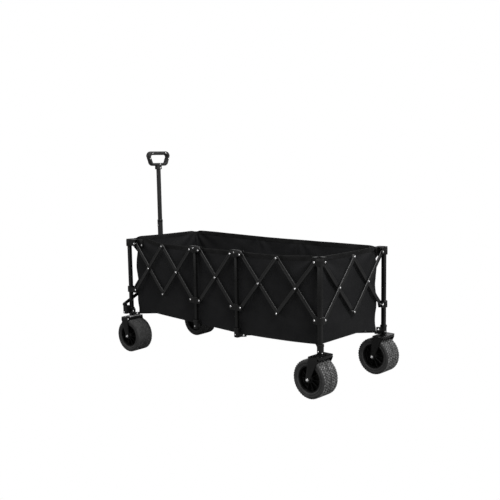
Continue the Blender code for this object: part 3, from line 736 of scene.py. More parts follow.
def middle_cap(plastic, rivets, wall, x, y):
    """An arched plate over both links, with a raised rim and a third rivet near its top."""
    at = wall_spot(wall, x, y)
    wide = MIDDLE_OFFSET + LINK_END
    top, low, corner = CAP_TOP - 0.002, Z_TOP - 0.0105, 0.006
    left, right, bend = at - wide + ARCH_RADIUS, at + wide - ARCH_RADIUS, top - ARCH_RADIUS
    arch = arc(right, bend, ARCH_RADIUS, 0, 90, 7) + arc(left, bend, ARCH_RADIUS, 90, 180, 7)
    inside = ARCH_RADIUS - ARCH_RIM
    inner = arc(left, bend, inside, 180, 90, 7) + arc(right, bend, inside, 90, 0, 7)
    outline = (arch + arc(at - wide + corner, low + corner, corner, 180, 270, 3)
               + arc(at + wide - corner, low + corner, corner, 270, 360, 3))
    add(plastic, prism(outline, PLATE_NEAR, PLATE_FAR, 0.0006, 2), facing(wall))
    add(plastic, prism(arch + inner, ARCH_BACK, PLATE_FAR + 0.0006, 0.0007, 2), facing(wall))
    for side in (-1, 1):
        back = ear_layers(side, True) - LINK_THICKNESS / 2 - LINK_CLEARANCE
        low_x, high_x = sorted((at, at + side * wide))
        rear_plate = rounded((low_x, low), (high_x, top - 0.004), 0.004, 3)
        add(plastic, prism(rear_plate, back - BACK_PLATE, back, 0.0006, 1), facing(wall))
        wall_pin(rivets, wall, at + side * MIDDLE_OFFSET, Z_TOP, back)
    wall_rivet(rivets, wall, at - 0.004, Z_TOP + 0.009, PLATE_FAR, 0.0038)


def hub_direction(x, y):
    return Vector((floor_hub_x(x) - x, -y, 0.0)).normalized()


def make_foot(x, y, arms, corner, plastic, rivets, stand):
    """A rounded foot with a collar and the lug of its floor strut.

    The front corner feet also carry the yoke's arm, and the rear ones a taller plate on the lug.
    """
    foot = (CORNER_FOOT if corner else MIDDLE_FOOT) / 2
    collar = foot + 0.0010
    add(plastic, block((-foot, -foot, FOOT_BOTTOM), (foot, foot, FOOT_TOP - 0.004), 0.0055, 0.0022, 4), stand)
    add(plastic, block((-collar, -collar, FOOT_TOP - 0.012), (collar, collar, FOOT_TOP), 0.0055, 0.0016, 4),
        stand)
    inward = hub_direction(x, y)
    turn = stand @ Matrix.Rotation(atan2(inward.y, inward.x), 4, "Z")
    half = FOOT_LUG_WIDTH / 2
    add(plastic, block((0.002, -half, FOOT_LUG_BOTTOM), (FOOT_LUG_REACH + 0.004, half, FOOT_LUG_TOP),
                       0.0030, 0.0014, 3), turn)
    rivet_at, rivet_z = FOOT_LUG_RIVET, (FOOT_LUG_BOTTOM + FOOT_LUG_TOP) / 2
    if corner and x > 0:
        (near, low), (far, high) = REAR_PLATE
        add(plastic, block((near, -half, low), (far, half, high), 0.0025, 0.0012), turn)
        rivet_at, rivet_z = REAR_PLATE_RIVET
    for side in (-1, 1):
        place = (rivet_at, side * (half - 0.0002), rivet_z)
        add(rivets, dome(0.0038, 0.0021), turn @ aim(place, (0, side, 0)))
    for number, wall in enumerate(sorted({wall for wall, _ in arms})):
        z = FOOT_BOTTOM + 0.014 - 0.007 * number
        wall_rivet(rivets, wall, wall_spot(wall, x, y) - 0.003, z, foot, 0.0030)
    if corner and x < 0:
        front_arm(y, foot, plastic, rivets, stand)


def front_arm(y, foot, plastic, rivets, stand):
    """The arm from a front foot to the yoke link's pivot, and a bracket along the wagon's side."""
    side = copysign(1.0, y)
    out = side * (YOKE_FOOT_Y - HALF_WIDTH)
    back = HANDLE_X - FRONT_X + LINK_THICKNESS / 2 + LINK_CLEARANCE
    low, high = sorted((out - 0.012, out + 0.012))
    bottom, top = FOOT_TOP - 0.034, FOOT_TOP - 0.010
    web = sorted((out + side * 0.011, side * 0.008))
    plate = sorted((side * (foot - 0.006), side * (foot + 0.0015)))
    for start, end, rounding, bevel in (
            ((back, min(low, -0.012), bottom), (0.0, max(high, 0.012), top), 0.004, 0.0014),
            ((back, low, bottom), (back + 0.010, high, YOKE_FOOT_Z + 0.011), 0.003, 0.0016),
            ((back + 0.006, web[0], bottom), (0.002, web[1], YOKE_FOOT_Z - 0.006), 0.003, 0.0016),
            ((-0.004, plate[0], bottom + 0.002), (0.044, plate[1], FOOT_TOP - 0.002), 0.002, 0.0012)):
        add(plastic, block(start, end, rounding, bevel), stand)
    end = high if side > 0 else low
    for radius, height, spot, way in (
            (0.0048, 0.0027, (back + 0.006, end, PIVOT_RIVET_Z), (0, side, 0)),
            (0.0028, 0.0016, (back + 0.0002, out - side * 0.011, 0.215), (-1, 0, 0)),
            (0.0028, 0.0016, (back + 0.0002, out - side * 0.011, 0.224), (-1, 0, 0)),
            (0.0038, 0.0021, (0.030, side * (foot + 0.0014), SIDE_RIVET_Z), (0, side, 0))):
        add(rivets, dome(radius, height), stand @ aim(spot, way))


def make_slider(label, x, y, arms):
    corner = is_corner(x)
    body = "slider_" + label
    bracket = (CORNER_BRACKET if corner else MIDDLE_BRACKET) / 2 + 0.0003
    tube = (CORNER_TUBE if corner else MIDDLE_TUBE) / 2 + 0.0004
    stand = stand_at(x, y)
    plastic, rivets = bmesh.new(), bmesh.new()
    sleeve(plastic, bracket, tube, Z_LOW - 0.018, Z_LOW + 0.016, stand)
    for wall, side in arms:
        at = wall_spot(wall, x, y)
        offset = lug_offset(x, wall)
        ear_plate(plastic, wall, at, side, offset, False, bracket, Z_LOW - 0.0165, Z_LOW + 0.0095, rivets)
    emit("collar_" + label, plastic, "plastic", body, 40, (body,))
    emit("rivets_slider_" + label, rivets, "zinc", body)


def sleeve(bm, outer, inner, low, high, stand):
    """A square sleeve with rounded corners, open along its middle for the post."""
    soft = 0.0012
    ring_out = rounded((-outer, -outer), (outer, outer), 0.0035, 3)
    ring_in = rounded((-inner, -inner), (inner, inner), 0.0030, 3)
    shrink = [(px * (1 - soft / outer), py * (1 - soft / outer)) for px, py in ring_out]
    levels = [(ring_in, low + soft), (shrink, low), (ring_out, low + soft), (ring_out, high - soft),
              (shrink, high), (ring_in, high - soft)]
    part = bmesh.new()
    rings = [[part.verts.new((px, py, z)) for px, py in ring] for ring, z in levels]
    bridge(part, rings + rings[:1])
    face_outwards(part)
    add(bm, part, stand)


# ---------------------------------------------------------------- forks and wheels

def make_fork(body, x, y, trail, turn, replaced):
    """A pressed fork: a plate with turned-down lips, two tapering legs and the axle's nuts."""
    stand = stand_at(x, y, turn=turn)
    pressing, bright = bmesh.new(), bmesh.new()
    outside = FORK_INSIDE + FORK_LEG
    top = FORK_PLATE_TOP
    add(pressing, block((-FORK_HALF, -outside, top - 0.005), (FORK_HALF, outside, top), 0.009, 0.0012), stand)
    for side in (-1, 1):
        low, high = sorted((side * (FORK_HALF - 0.004), side * FORK_HALF))
        add(pressing, block((low, -outside + 0.008, top - 0.012), (high, outside - 0.008, top - 0.003),
                            0.0015, 0.0008), stand)
        flip = stand @ Matrix.Translation((0, side * (FORK_INSIDE + FORK_LEG / 2), 0)) @ \
            Matrix.Rotation(pi / 2, 4, "X")
        add(pressing, prism(leg_outline(trail), -FORK_LEG / 2, FORK_LEG / 2, 0.0011, 2), flip)
        # the pressing stands a little proud inside its edge
        rib = FORK_LEG / 2 + 0.0008
        add(pressing, prism(leg_outline(trail, 0.0065), -rib, rib, 0.0007, 1), flip)
        nut_place = (trail, side * (outside + 0.0006), WHEEL_RADIUS)
        add(bright, nut(0.0054, 0.0046), stand @ aim(nut_place, (0, side, 0)))
        for bolt_x in (-0.019, 0.019) if replaced else ():
            add(bright, dome(0.0040, 0.0022), stand @ aim((bolt_x, side * 0.030, top - 0.0002), (0, 0, 1)))
    add(pressing, rod(0.0058, 2 * outside - 0.002, 20),
        stand @ aim((trail, -outside + 0.001, WHEEL_RADIUS), (0, 1, 0)))
    # a bright bearing of two races on top of a swivelling fork, a black neck on a fixed one
    low, high = top - 0.001, FOOT_BOTTOM - 0.0004
    middle = (low + high) / 2
    wide = NECK_RADIUS
    profile = [(0, low), (wide - 0.001, low), (wide, low + 0.0006), (wide, middle - 0.0003),
               (wide - 0.0014, middle), (wide - 0.0004, middle + 0.0004),
               (wide - 0.0004, high - 0.0004), (wide - 0.0012, high), (0, high)]
    add(bright if replaced else pressing, turned(profile, 32), stand)
    label = body.replace("caster_fork_", "caster_").replace("post_", "")
    emit("fork_" + label, pressing, "frame", body, 36, replaced)
    emit("nuts_" + label, bright, "zinc", body)


def leg_outline(trail, inset=0.0):
    half = FORK_LEG_HALF - inset
    top = FORK_PLATE_TOP - 0.002 - inset
    shoulder = FORK_PLATE_BOTTOM - 0.004 - inset * 0.4
    shape = [(half - 0.004, top), (-half + 0.004, top), (-half, shoulder)]
    shape += arc(trail, WHEEL_RADIUS, FORK_TIP_RADIUS - inset * 0.75, 190, 350, 10)
    return shape + [(half, shoulder)]


def make_wheel(body, x, y, turn):
    """A broad tyre with small staggered tread blocks, on a dished and ribbed plastic rim."""
    stand = stand_at(x, y, WHEEL_RADIUS, turn) @ Matrix.Rotation(-pi / 2, 4, "X")
    half = WHEEL_WIDTH / 2
    base = WHEEL_RADIUS - 0.0016
    shoulder = [(base, half - 0.0120), (base - 0.0008, half - 0.0070), (base - 0.0030, half - 0.0028),
                (base - 0.0070, half - 0.0006), (base - 0.0110, half), (base - 0.0150, half - 0.0004),
                (base - 0.0162, half - 0.0020), (base - 0.0178, half - 0.0020),
                (base - 0.0190, half - 0.0004), (RIM_RADIUS + 0.0030, half - 0.0012),
                (RIM_RADIUS + 0.0006, half - 0.0030), (RIM_RADIUS, half - 0.0060)]
    groove = [(base, 0.0030), (base - 0.0020, 0.0020), (base - 0.0020, -0.0020), (base, -0.0030)]
    inner = [(RIM_RADIUS, half * 0.7), (RIM_RADIUS, -half * 0.7)]
    profile = list(reversed(shoulder)) + groove + [(r, -w) for r, w in shoulder] + list(reversed(inner))
    tread, rim, bearing = bmesh.new(), bmesh.new(), bmesh.new()
    tread_blocks(tread, half)
    make_rim(rim, half)
    for side in (-1, 1):
        cap = turned([(AXLE_BORE, 0), (0.0092, 0), (0.0092, 0.0010), (AXLE_BORE, 0.0010)], 24, closed=True)
        add(bearing, cap, aim((0, 0, side * (half - 0.0005)), (0, 0, side)))
    # the rear wheels take the lighter tread with painted light, the front wheels the darker one with painted
    # shade
    for label, bm, finish, degrees, replaced in (
            ("tyre", turned(profile, 96, closed=True), "rubber", 50, (body,)),
            ("tread", tread, "tread" if x > 0 else "tread_front", 30, ()),
            ("rim", rim, "rim", 34, ()), ("bearing", bearing, "steel", 32, ())):
        bm.transform(stand)
        emit(body.replace("wheel", label), bm, finish, body, degrees, replaced)


def tread_blocks(bm, half):
    """Rows of small slanted blocks round the tyre; every other row is shifted by half a block."""
    foot, top = WHEEL_RADIUS - 0.0026, WHEEL_RADIUS
    pitch = 2 * pi / TREAD_COUNT
    width = 2 * half * 0.90 / TREAD_ROWS
    for row in range(TREAD_ROWS):
        middle = (row - (TREAD_ROWS - 1) / 2) * width
        if abs(middle) < width * 0.3:
            lanes = ((-0.0044, 0.0034), (0.0044, 0.0034))
        else:
            lanes = ((middle + copysign(0.0012, middle), width * 0.76),)
        for centre, wide in lanes:
            drop = max(0.0, abs(centre) / half - 0.74) ** 2 * 0.045
            slant = (0.32 if row % 2 else -0.32) * pitch
            for k in range(TREAD_COUNT):
                angle = (k + 0.5 * (row % 2)) * pitch
                length = pitch * (0.66 if (k + row) % 3 else 0.50)
                corners = []
                for radius, shrink in ((foot - drop, 1.0), (top - drop, 0.78)):
                    for side_w, side_a in ((-1, -1), (1, -1), (1, 1), (-1, 1)):
                        w = centre + side_w * wide / 2 * shrink
                        a = angle + side_a * length / 2 * shrink + slant * side_w * 0.5
                        corners.append(bm.verts.new((radius * cos(a), radius * sin(a), w)))
                low, high = corners[:4], corners[4:]
                bm.faces.new(high)
                bm.faces.new(list(reversed(low)))
                for n in range(4):
                    bm.faces.new((low[n], low[(n + 1) % 4], high[(n + 1) % 4], high[n]))
    face_outwards(bm)


def make_rim(bm, half):
    """A deep dished disc on each side with thin radial ribs, a rolled edge and a stepped hub."""
    profile = [(AXLE_BORE, half - 0.001), (0.0150, half - 0.001), (0.0165, half - 0.0025),
               (0.0172, half * 0.62), (0.0200, half * 0.52), (RIM_RADIUS - 0.010, half * 0.46),
               (RIM_RADIUS - 0.0055, half * 0.52),
               (RIM_RADIUS - 0.0038, half * 0.90), (RIM_RADIUS - 0.0020, half * 0.930),
               (RIM_RADIUS + 0.0004, half * 0.91), (RIM_RADIUS + 0.0004, half * 0.70)]
    profile = profile + [(r, -w) for r, w in reversed(profile)]
    add(bm, turned(profile, 64, closed=True))
    shape = [(0.0165, half * 0.48), (RIM_RADIUS - 0.0045, half * 0.42), (RIM_RADIUS - 0.0045, half * 0.72),
             (0.0165, half * 0.84)]
    for side in (-1, 1):
        # the outline lies in radius and width, so stand it up along the wheel's axis
        lay = Matrix(((1, 0, 0, 0), (0, 0, -1, 0), (0, side, 0, 0), (0, 0, 0, 1)))
        for k in range(RIM_SPOKES):
            spin = Matrix.Rotation(2 * pi * k / RIM_SPOKES, 4, "Z")
            add(bm, prism(shape, -0.0011, 0.0011, 0.0005, 1), spin @ lay)
    face_outwards(bm)


def make_pedal(side_name, x, y, turn):
    """A foot lever with a ribbed toe, hung on the caster's hinge pin."""
    body = f"brake_pedal_{side_name}"
    stand = stand_at(x, y, turn=turn) @ Matrix.Translation((PEDAL_HINGE_X, 0, PEDAL_HINGE_Z)) @ \
        Matrix.Rotation(-PEDAL_DROOP, 4, "Y")
    plastic = bmesh.new()
    tip = -PEDAL_LENGTH
    edge = [(0.0030, 0.012), (-0.010, 0.0115), (-0.020, PEDAL_HALF), (tip + 0.008, PEDAL_HALF),
            (tip + 0.0015, PEDAL_HALF - 0.005)]
    outline = edge + [(tip, 0.0)] + [(px, -py) for px, py in reversed(edge)]
    add(plastic, prism(outline, -0.0030, 0.0022, 0.0010, 2), stand)
    for k in range(4):
        at = tip + 0.0060 + 0.0046 * k
        rib = block((at - 0.0011, -0.0140, 0.0018), (at + 0.0011, 0.0140, 0.0036), 0.0010, 0.0005, 2)
        add(plastic, rib, stand)
    add(plastic, rod(0.0036, 0.030, 20), stand @ aim((0, -0.015, 0), (0, 1, 0)))
    emit("pedal_" + side_name, plastic, "plastic", body, 36, (body,), recalc=True)


# ---------------------------------------------------------------- handle

def make_handle():
    rise, run = HUB_Z - YOKE_FOOT_Z, YOKE_FOOT_Y - HUB_PIN_Y
    length, slope = hypot(rise, run), atan2(rise, run)
    for side_name, side in (("left", -1), ("right", 1)):
        body = f"yoke_link_{side_name}"
        front = Matrix(((0, 0, -1, 0), (-side, 0, 0, 0), (0, 1, 0, 0), (0, 0, 0, 1)))
        stand = Matrix.Translation((HANDLE_X, side * YOKE_FOOT_Y, YOKE_FOOT_Z)) @ front
        bar = link_bar(length)
        bar.transform(stand @ Matrix.Rotation(slope, 4, "Z"))
        emit("bar_" + body, bar, "frame", body, 40, (body,), recalc=True)
        rivets = bmesh.new()
        face = HANDLE_X - LINK_THICKNESS * LINK_PRESS / 2 + 0.0010
        for ry, rz in ((side * YOKE_FOOT_Y, YOKE_FOOT_Z), (side * HUB_PIN_Y, HUB_Z)):
            add(rivets, dome(0.0044, 0.0034), aim((face, ry, rz), (-1, 0, 0)))
        emit("rivets_" + body, rivets, "zinc", body)
    make_hub()
    make_tubes()


def make_hub():
    """The plate behind the yoke links, with two ears that hold the handle's tilt bolt."""
    front = HANDLE_X + LINK_THICKNESS / 2 + LINK_CLEARANCE
    back = front + 0.008
    outside = EAR_INSIDE + EAR_THICKNESS
    plastic, bright = bmesh.new(), bmesh.new()
    plate = rounded((-HUB_HALF, HUB_BOTTOM), (HUB_HALF, HUB_TOP), 0.009, 5)
    add(plastic, prism(plate, front, back, 0.0016, 2), FORWARDS)
    root = rounded((front, HUB_TOP - 0.004), (back, TILT_Z), 0.0015, 2)
    ear = rounded((HANDLE_X - EAR_FRONT, EAR_BOTTOM), (back, TILT_Z + EAR_FRONT),
                  (0.004, 0.002, 0.008, 0.010), 5)
    for side in (-1, 1):
        near, far = sorted((side * EAR_INSIDE, side * outside))
        add(plastic, prism(root, near, far, 0.0008, 2), SIDEWAYS)
        add(plastic, prism(ear, near, far, 0.0010, 2), SIDEWAYS)
        add(bright, nut(0.0060, 0.0040), aim((HANDLE_X, side * (outside - 0.0002), TILT_Z), (0, side, 0)))
    add(bright, rod(0.0040, 2 * EAR_INSIDE), aim((HANDLE_X, -EAR_INSIDE, TILT_Z), (0, 1, 0)))
    emit("yoke_hub", plastic, "plastic", "handle_hub", 36, ("handle_hub",), recalc=True)
    emit("yoke_hub_bolt", bright, "zinc", "handle_hub")


def make_tubes():
    stand = stand_at(HANDLE_X, 0)
    foot, plug, top = TILT_Z - 0.011, TILT_Z + 0.014, LOWER_TUBE_TOP
    radius, bore = LOWER_TUBE_RADIUS, LOWER_TUBE_BORE
    lower = turned([(0.0050, foot + 0.001), (radius - 0.001, foot), (radius, foot + 0.001),
                    (radius, top - 0.002), (bore, top - 0.0015), (bore, plug), (0.0050, plug)],
                   32, closed=True)
    lower.transform(stand)
    body = "handle_lower_tube"
    emit("handle_outer_tube", lower, "handle", body, 40, (body,))
    collar = bmesh.new()
    wide, throat = radius + 0.0010, UPPER_TUBE_RADIUS + 0.0003
    add(collar, turned([(radius - 0.0004, top - 0.0120), (wide - 0.0003, top - 0.0115),
                        (wide, top - 0.0105), (wide, top - 0.0020), (wide - 0.0008, top), (throat, top),
                        (throat, top - 0.0014), (radius - 0.0004, top - 0.0014)], 32, closed=True), stand)
    # clip and its housing on the left of the tube
    add(collar, block((-0.0050, -wide - 0.0012, top - 0.0440), (0.0050, -wide + 0.0040, top - 0.0120),
                      0.0018, 0.0010, 3), stand)
    emit("handle_collar", collar, "plastic", body, 34)
    button = turned([(0, 0), (0.0036, 0), (0.0036, 0.0016), (0.0026, 0.0026), (0, 0.0029)], 20)
    button.transform(stand @ aim((0, -wide - 0.0010, top - 0.0330), (0, -1, 0)))
    emit("handle_button", button, "zinc", body)
    ends = UPPER_TUBE_BOTTOM, GRIP_BOTTOM + 0.010
    upper = turned([(UPPER_TUBE_BORE, ends[0]), (UPPER_TUBE_RADIUS, ends[0]),
                    (UPPER_TUBE_RADIUS, ends[1]), (UPPER_TUBE_BORE, ends[1])], 32, closed=True)
    upper.transform(stand)
    body = "handle_upper_tube"
    emit("handle_inner_tube", upper, "handle", body, 40, (body,))
    make_grip(stand)


def grip_loop(half_top, half_low, bottom, top, radius, steps=6):
    """A rounded trapezoid, wider at its top, with the same number of points for every size."""
    points = arc(half_low - radius, bottom + radius, radius, -90, -5, steps)
    points += arc(half_top - radius, top - radius, radius, 0, 90, steps)
    return points + [(-px, py) for px, py in reversed(points)]


def make_grip(stand):
    """The loop is a soft-edged bar swept between its outer and inner outlines, on a short neck."""
    bottom = GRIP_LOOP_BOTTOM
    outer = grip_loop(GRIP_HALF_TOP, GRIP_HALF_LOW, bottom, GRIP_TOP, GRIP_ROUNDING)
    inner = grip_loop(GRIP_HALF_TOP - GRIP_SIDE, GRIP_HALF_LOW - GRIP_SIDE + GRIP_INNER_FLARE,
                      bottom + GRIP_LOWER, GRIP_TOP - GRIP_UPPER, GRIP_INNER_ROUNDING)
    section = []
    for k in range(GRIP_SIDES):
        turn = 2 * pi * k / GRIP_SIDES
        across, deep = (copysign(abs(value) ** GRIP_SQUARENESS, value)
                        for value in (cos(turn), sin(turn)))
        section.append((0.5 + 0.5 * across, deep * GRIP_DEPTH / 2))
    bm = bmesh.new()
    rings = [[bm.verts.new((deep, iy + (oy - iy) * share, iz + (oz - iz) * share))
              for share, deep in section] for (oy, oz), (iy, iz) in zip(outer, inner)]
    bridge(bm, rings + rings[:1])
    neck_top = bottom + 0.006
    neck_half = GRIP_DEPTH / 2 - 0.001
    neck = prism(rounded((-neck_half, -GRIP_NECK_HALF), (neck_half, GRIP_NECK_HALF), 0.009, 5),
                 GRIP_BOTTOM, neck_top, 0.002, 3)
    for vert in neck.verts:
        share = (vert.co.z - GRIP_BOTTOM) / (neck_top - GRIP_BOTTOM)
        vert.co.y *= 1.0 - 0.12 * sin(pi * share)
    add(bm, neck)
    bm.transform(stand)
    emit("grip", bm, "grip", "handle_upper_tube", 50, recalc=True)
    screws = bmesh.new()
    upper_y, side_y = GRIP_HALF_TOP - 0.030, GRIP_HALF_TOP - 0.011
    for y, z in ((-upper_y, GRIP_TOP - 0.0105), (upper_y, GRIP_TOP - 0.0105), (0.004, bottom + 0.008),
                 (0.004, GRIP_BOTTOM + 0.008), (side_y, bottom + 0.042), (-side_y, bottom + 0.042)):
        for side in (-1, 1):
            spot = (side * (GRIP_DEPTH / 2 - 0.0006), y, z)
            add(screws, dome(0.0034, 0.0018), stand @ aim(spot, (side, 0, 0)))
    emit("grip_screws", screws, "zinc", "handle_upper_tube")


# ---------------------------------------------------------------- bag

def straight(start, end):
    """Points along a stretch of the bag's outline, without its end."""
    start, end = Vector(start), Vector(end)
    count = max(1, round((end - start).length / GRID))
    return [start.lerp(end, k / count) for k in range(count)]


def bend(x, y, first):
    """Points along a quarter turn of the outline, without its end."""
    return [Vector(point) for point in arc(x, y, BAG_ROUNDING, first, first + 90, 6)[:-1]]


def perimeter():
    """The bag's outline in plan, starting at the front left corner and going round by the rear."""
    x0, x1, y0, y1 = BAG_FRONT_X, BAG_REAR_X, -BAG_HALF_Y, BAG_HALF_Y
    in0, in1 = x0 + BAG_ROUNDING, x1 - BAG_ROUNDING
    low, high = y0 + BAG_ROUNDING, y1 - BAG_ROUNDING
    pieces = [("left_front", bend(in0, low, 180) + straight((in0, y0), (-MIDDLE_X, y0))),
              ("left_middle", straight((-MIDDLE_X, y0), (MIDDLE_X, y0))),
              ("left_rear", straight((MIDDLE_X, y0), (in1, y0)) + bend(in1, low, 270)),
              ("rear", straight((x1, low), (x1, high))),
              ("right_rear", bend(in1, high, 0) + straight((in1, y1), (MIDDLE_X, y1))),
              ("right_middle", straight((MIDDLE_X, y1), (-MIDDLE_X, y1))),
              ("right_front", straight((-MIDDLE_X, y1), (in0, y1)) + bend(in0, high, 90)),
              ("front", straight((x0, high), (x0, low)))]
    following = pieces[1:] + pieces[:1]
    return [(name, points + [after[0]]) for (name, points), (_, after) in zip(pieces, following)]


def corner_share(x, y, reach):
    """1 at the nearest corner of the bag, falling to 0 away from it."""
    best = hypot(min(abs(x - BAG_FRONT_X), abs(x - BAG_REAR_X)), BAG_HALF_Y - abs(y))
    return exp(-(best / reach) ** 2)


def tie_share(x, y, reach):
    """1 at the nearest tie, falling to 0 away from it."""
    best = min(hypot(x - cx, y - cy) for cx, cy in TIES)
    return exp(-(best / reach) ** 2)


def floor_height(x, y):
    """The floor is flat in its middle and rises near each wall to the wall's lower edge."""
    lift, weight, strength = 0.0, 0.0, 0.0
    for px, py, gap in ((BAG_FRONT_X, y, x - BAG_FRONT_X), (BAG_REAR_X, y, BAG_REAR_X - x),
                        (x, -BAG_HALF_Y, y + BAG_HALF_Y), (x, BAG_HALF_Y, BAG_HALF_Y - y)):
        gap = max(0.0, gap)
        near = 1 / (gap + 0.002) ** 2
        lift += near * (bottom_height(px, py) + 0.0030 - BAG_BOTTOM)
        weight += near
        strength = max(strength, exp(-(gap / FLOOR_RISE_REACH) ** 2))
    return BAG_BOTTOM + strength * lift / weight + 0.0008 * noise.noise(Vector((x * 7, y * 7, 0.3)))


def bottom_height(x, y):
    """The walls' lower edge: lowest by the middle posts, drawn up in front and at the rear left."""
    forward = min(1.0, max(0.0, (0.10 - x) / 0.64))
    backward = max(0.0, (x - 0.10) / 0.53)
    left = (LOWER_EDGE_LEFT + 0.0180 * forward - 0.0145 * ease((-x - 0.50) / 0.13)
            + 0.0225 * min(1.0, backward) ** 2)
    right = LOWER_EDGE_RIGHT + 0.0060 * ease((-x - 0.40) / 0.20)
    side = 0.5 + 0.5 * y / BAG_HALF_Y
    return left + (right - left) * ease((side - 0.70) / 0.30)


def top_height(x, y):
    """The rim sags along the middle and is pulled up at the front corners; it lies higher on the right."""
    side = 0.5 + 0.5 * y / BAG_HALF_Y
    rear = ease((x - 0.33) / 0.30)
    left = RIM_LEFT + 0.0270 * ease((-x - 0.40) / 0.22) + 0.0130 * rear
    right = RIM_RIGHT + 0.0085 * ease(-x / 0.60)
    sag = RIM_SAG * side * (1 - side) + CORNER_DIP * corner_share(x, y, 0.024)
    return left + (right - left) * side - sag + 0.0008 * noise.noise(Vector((x * 9, y * 9, 4.0)))


def creases(x, y, drop):
    """Folds that fan out below the ties at the top of the posts."""
    depth = 0.0
    for number, (cx, cy) in enumerate(TIES):
        reach = hypot(x - cx, y - cy)
        if reach <= FOLD_REACH:
            radius = hypot(reach, drop)
            angle = atan2((x - cx) + (y - cy), drop + 0.01)
            size, folds = CORNER_FOLDS if is_corner(cx) else MIDDLE_FOLDS
            fan = cos(angle * folds + number * 1.7)
            depth += size * fan * exp(-radius / 0.12) * min(1.0, radius / 0.04)
    return depth


def drape(x, y, share):
    """How far the wall stands out of its plane at a place; share runs from 0 below to 1 at the rim."""
    height = BAG_BOTTOM + (BAG_TOP - BAG_BOTTOM) * share
    drop = BAG_TOP - height
    free = 1 - tie_share(x, y, 0.10)
    belly = BELLY * free * sin(pi * min(1.0, share * 1.05)) ** 0.8
    place = Vector((x * 4.2, y * 4.2, height * 3.0))
    broad = 0.0030 * noise.noise(place) + 0.0016 * noise.noise(place * 2.7 + Vector((3, 1, 7)))
    pull = Vector((x * 3 + height * 9, y * 3 - height * 7, 5.0))
    diagonal = 0.0016 * noise.noise(pull * 2.2)
    wave = 0.0042 * corner_share(x, y, 0.05) * sin(height * 34 + x * 3)
    calm = 1 - 0.7 * max(0.0, share - 0.93) / 0.07
    low = min(1.0, share / 0.06)
    return (belly + broad + diagonal + wave * low + creases(x, y, drop)) * calm * (0.35 + 0.65 * low)


def outward_at(x, y):
    """Outward direction in plan on the bag's rounded outline."""
    inner_x = min(max(x, BAG_FRONT_X + BAG_ROUNDING), BAG_REAR_X - BAG_ROUNDING)
    inner_y = min(max(y, -BAG_HALF_Y + BAG_ROUNDING), BAG_HALF_Y - BAG_ROUNDING)
    away = Vector((x - inner_x, y - inner_y))
    return away.normalized() if away.length > 1e-6 else Vector((0.0, -1.0))


def wall_surface(x, y, share, extra=0.0):
    out = outward_at(x, y) * (drape(x, y, share) - 0.002 + extra)
    z = bottom_height(x, y) * (1 - share) + top_height(x, y) * share
    return Vector((x + out.x, y + out.y, z))


def fold_of(name):
    """Body, axis, anchor and share of its length that a part of the bag keeps when folded."""
    half = BAG_HALF_Y - BAG_ROUNDING
    if name in ("rear", "front"):
        return f"post_left_{name}", (0, 1, 0), Vector((0, -half, 0)), (half - FOLD_Y) / half
    side, part = name.split("_")[:2]
    length, shortening = {"front": (-MIDDLE_X - BAG_FRONT_X, CORNER_FOLD_X - MIDDLE_FOLD_X),
                          "middle": (2 * MIDDLE_X, 2 * MIDDLE_FOLD_X),
                          "rear": (BAG_REAR_X - MIDDLE_X, CORNER_FOLD_X - MIDDLE_FOLD_X)}[part]
    end, x = ("rear", MIDDLE_X) if part == "rear" else ("front", -MIDDLE_X)
    return f"post_{side}_mid_{end}", (1, 0, 0), Vector((x, 0, 0)), (length - shortening) / length


def soft_piece(name, bm, finish, part, thickness=0.0):
    """A piece of the bag that rides on one body of the frame; thickness gives a single surface its two faces.
    """
    bm.transform(MOVE)
    mesh = mesh_from(name, bm)
    if thickness:
        guide = put_in_scene(name + "_guide", mesh)
        solid = guide.modifiers.new("cloth", "SOLIDIFY")
        solid.thickness = thickness
        solid.offset = 0.0
        evaluated = guide.evaluated_get(bpy.context.evaluated_depsgraph_get())
        mesh = bpy.data.meshes.new_from_object(evaluated)
        mesh.name = name
        bpy.data.objects.remove(guide)
    body, axis, anchor, keep = fold_of(part) if isinstance(part, str) else part
    piece = finish_piece(name, mesh, finish, body, 60)
    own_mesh(piece)
    return piece


def grid_faces(bm, rows):
    for one, two in zip(rows, rows[1:]):
        for k in range(len(one) - 1):
            bm.faces.new((one[k], one[k + 1], two[k + 1], two[k]))


def make_walls():
    for name, points in perimeter():
        bm = bmesh.new()
        rows = [[bm.verts.new(wall_surface(p.x, p.y, row / ROWS)) for p in points]
                for row in range(ROWS + 1)]
        grid_faces(bm, rows)
        wall = soft_piece("wall_" + name, bm, "fabric", name, CLOTH)
        trims = [make_hem(name, points), make_stitches(name, points)]
        if name == "left_front":
            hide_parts("bag")


def make_hem(name, points):
    """The rim is turned over and sewn down: a slightly thicker, rounded band on both faces."""
    bm = bmesh.new()
    outside = [(HEM_LOW, 0.0009), (HEM_LOW + 0.004, 0.0012), (0.994, 0.0015), (1.0035, 0.0011)]
    section = outside + [(1.0050, 0.0)] + [(share, -extra) for share, extra in reversed(outside)]
    rows = []
    for share, extra in section:
        rise = Vector((0, 0, max(0.0, share - 1.0) * 0.4))
        rows.append([bm.verts.new(wall_surface(p.x, p.y, min(share, 1.0), extra) + rise) for p in points])
    grid_faces(bm, rows + rows[:1])
    for end in (0, -1):
        bm.faces.new([row[end] for row in rows])
    face_outwards(bm)
    return soft_piece("hem_" + name, bm, "binding", name)


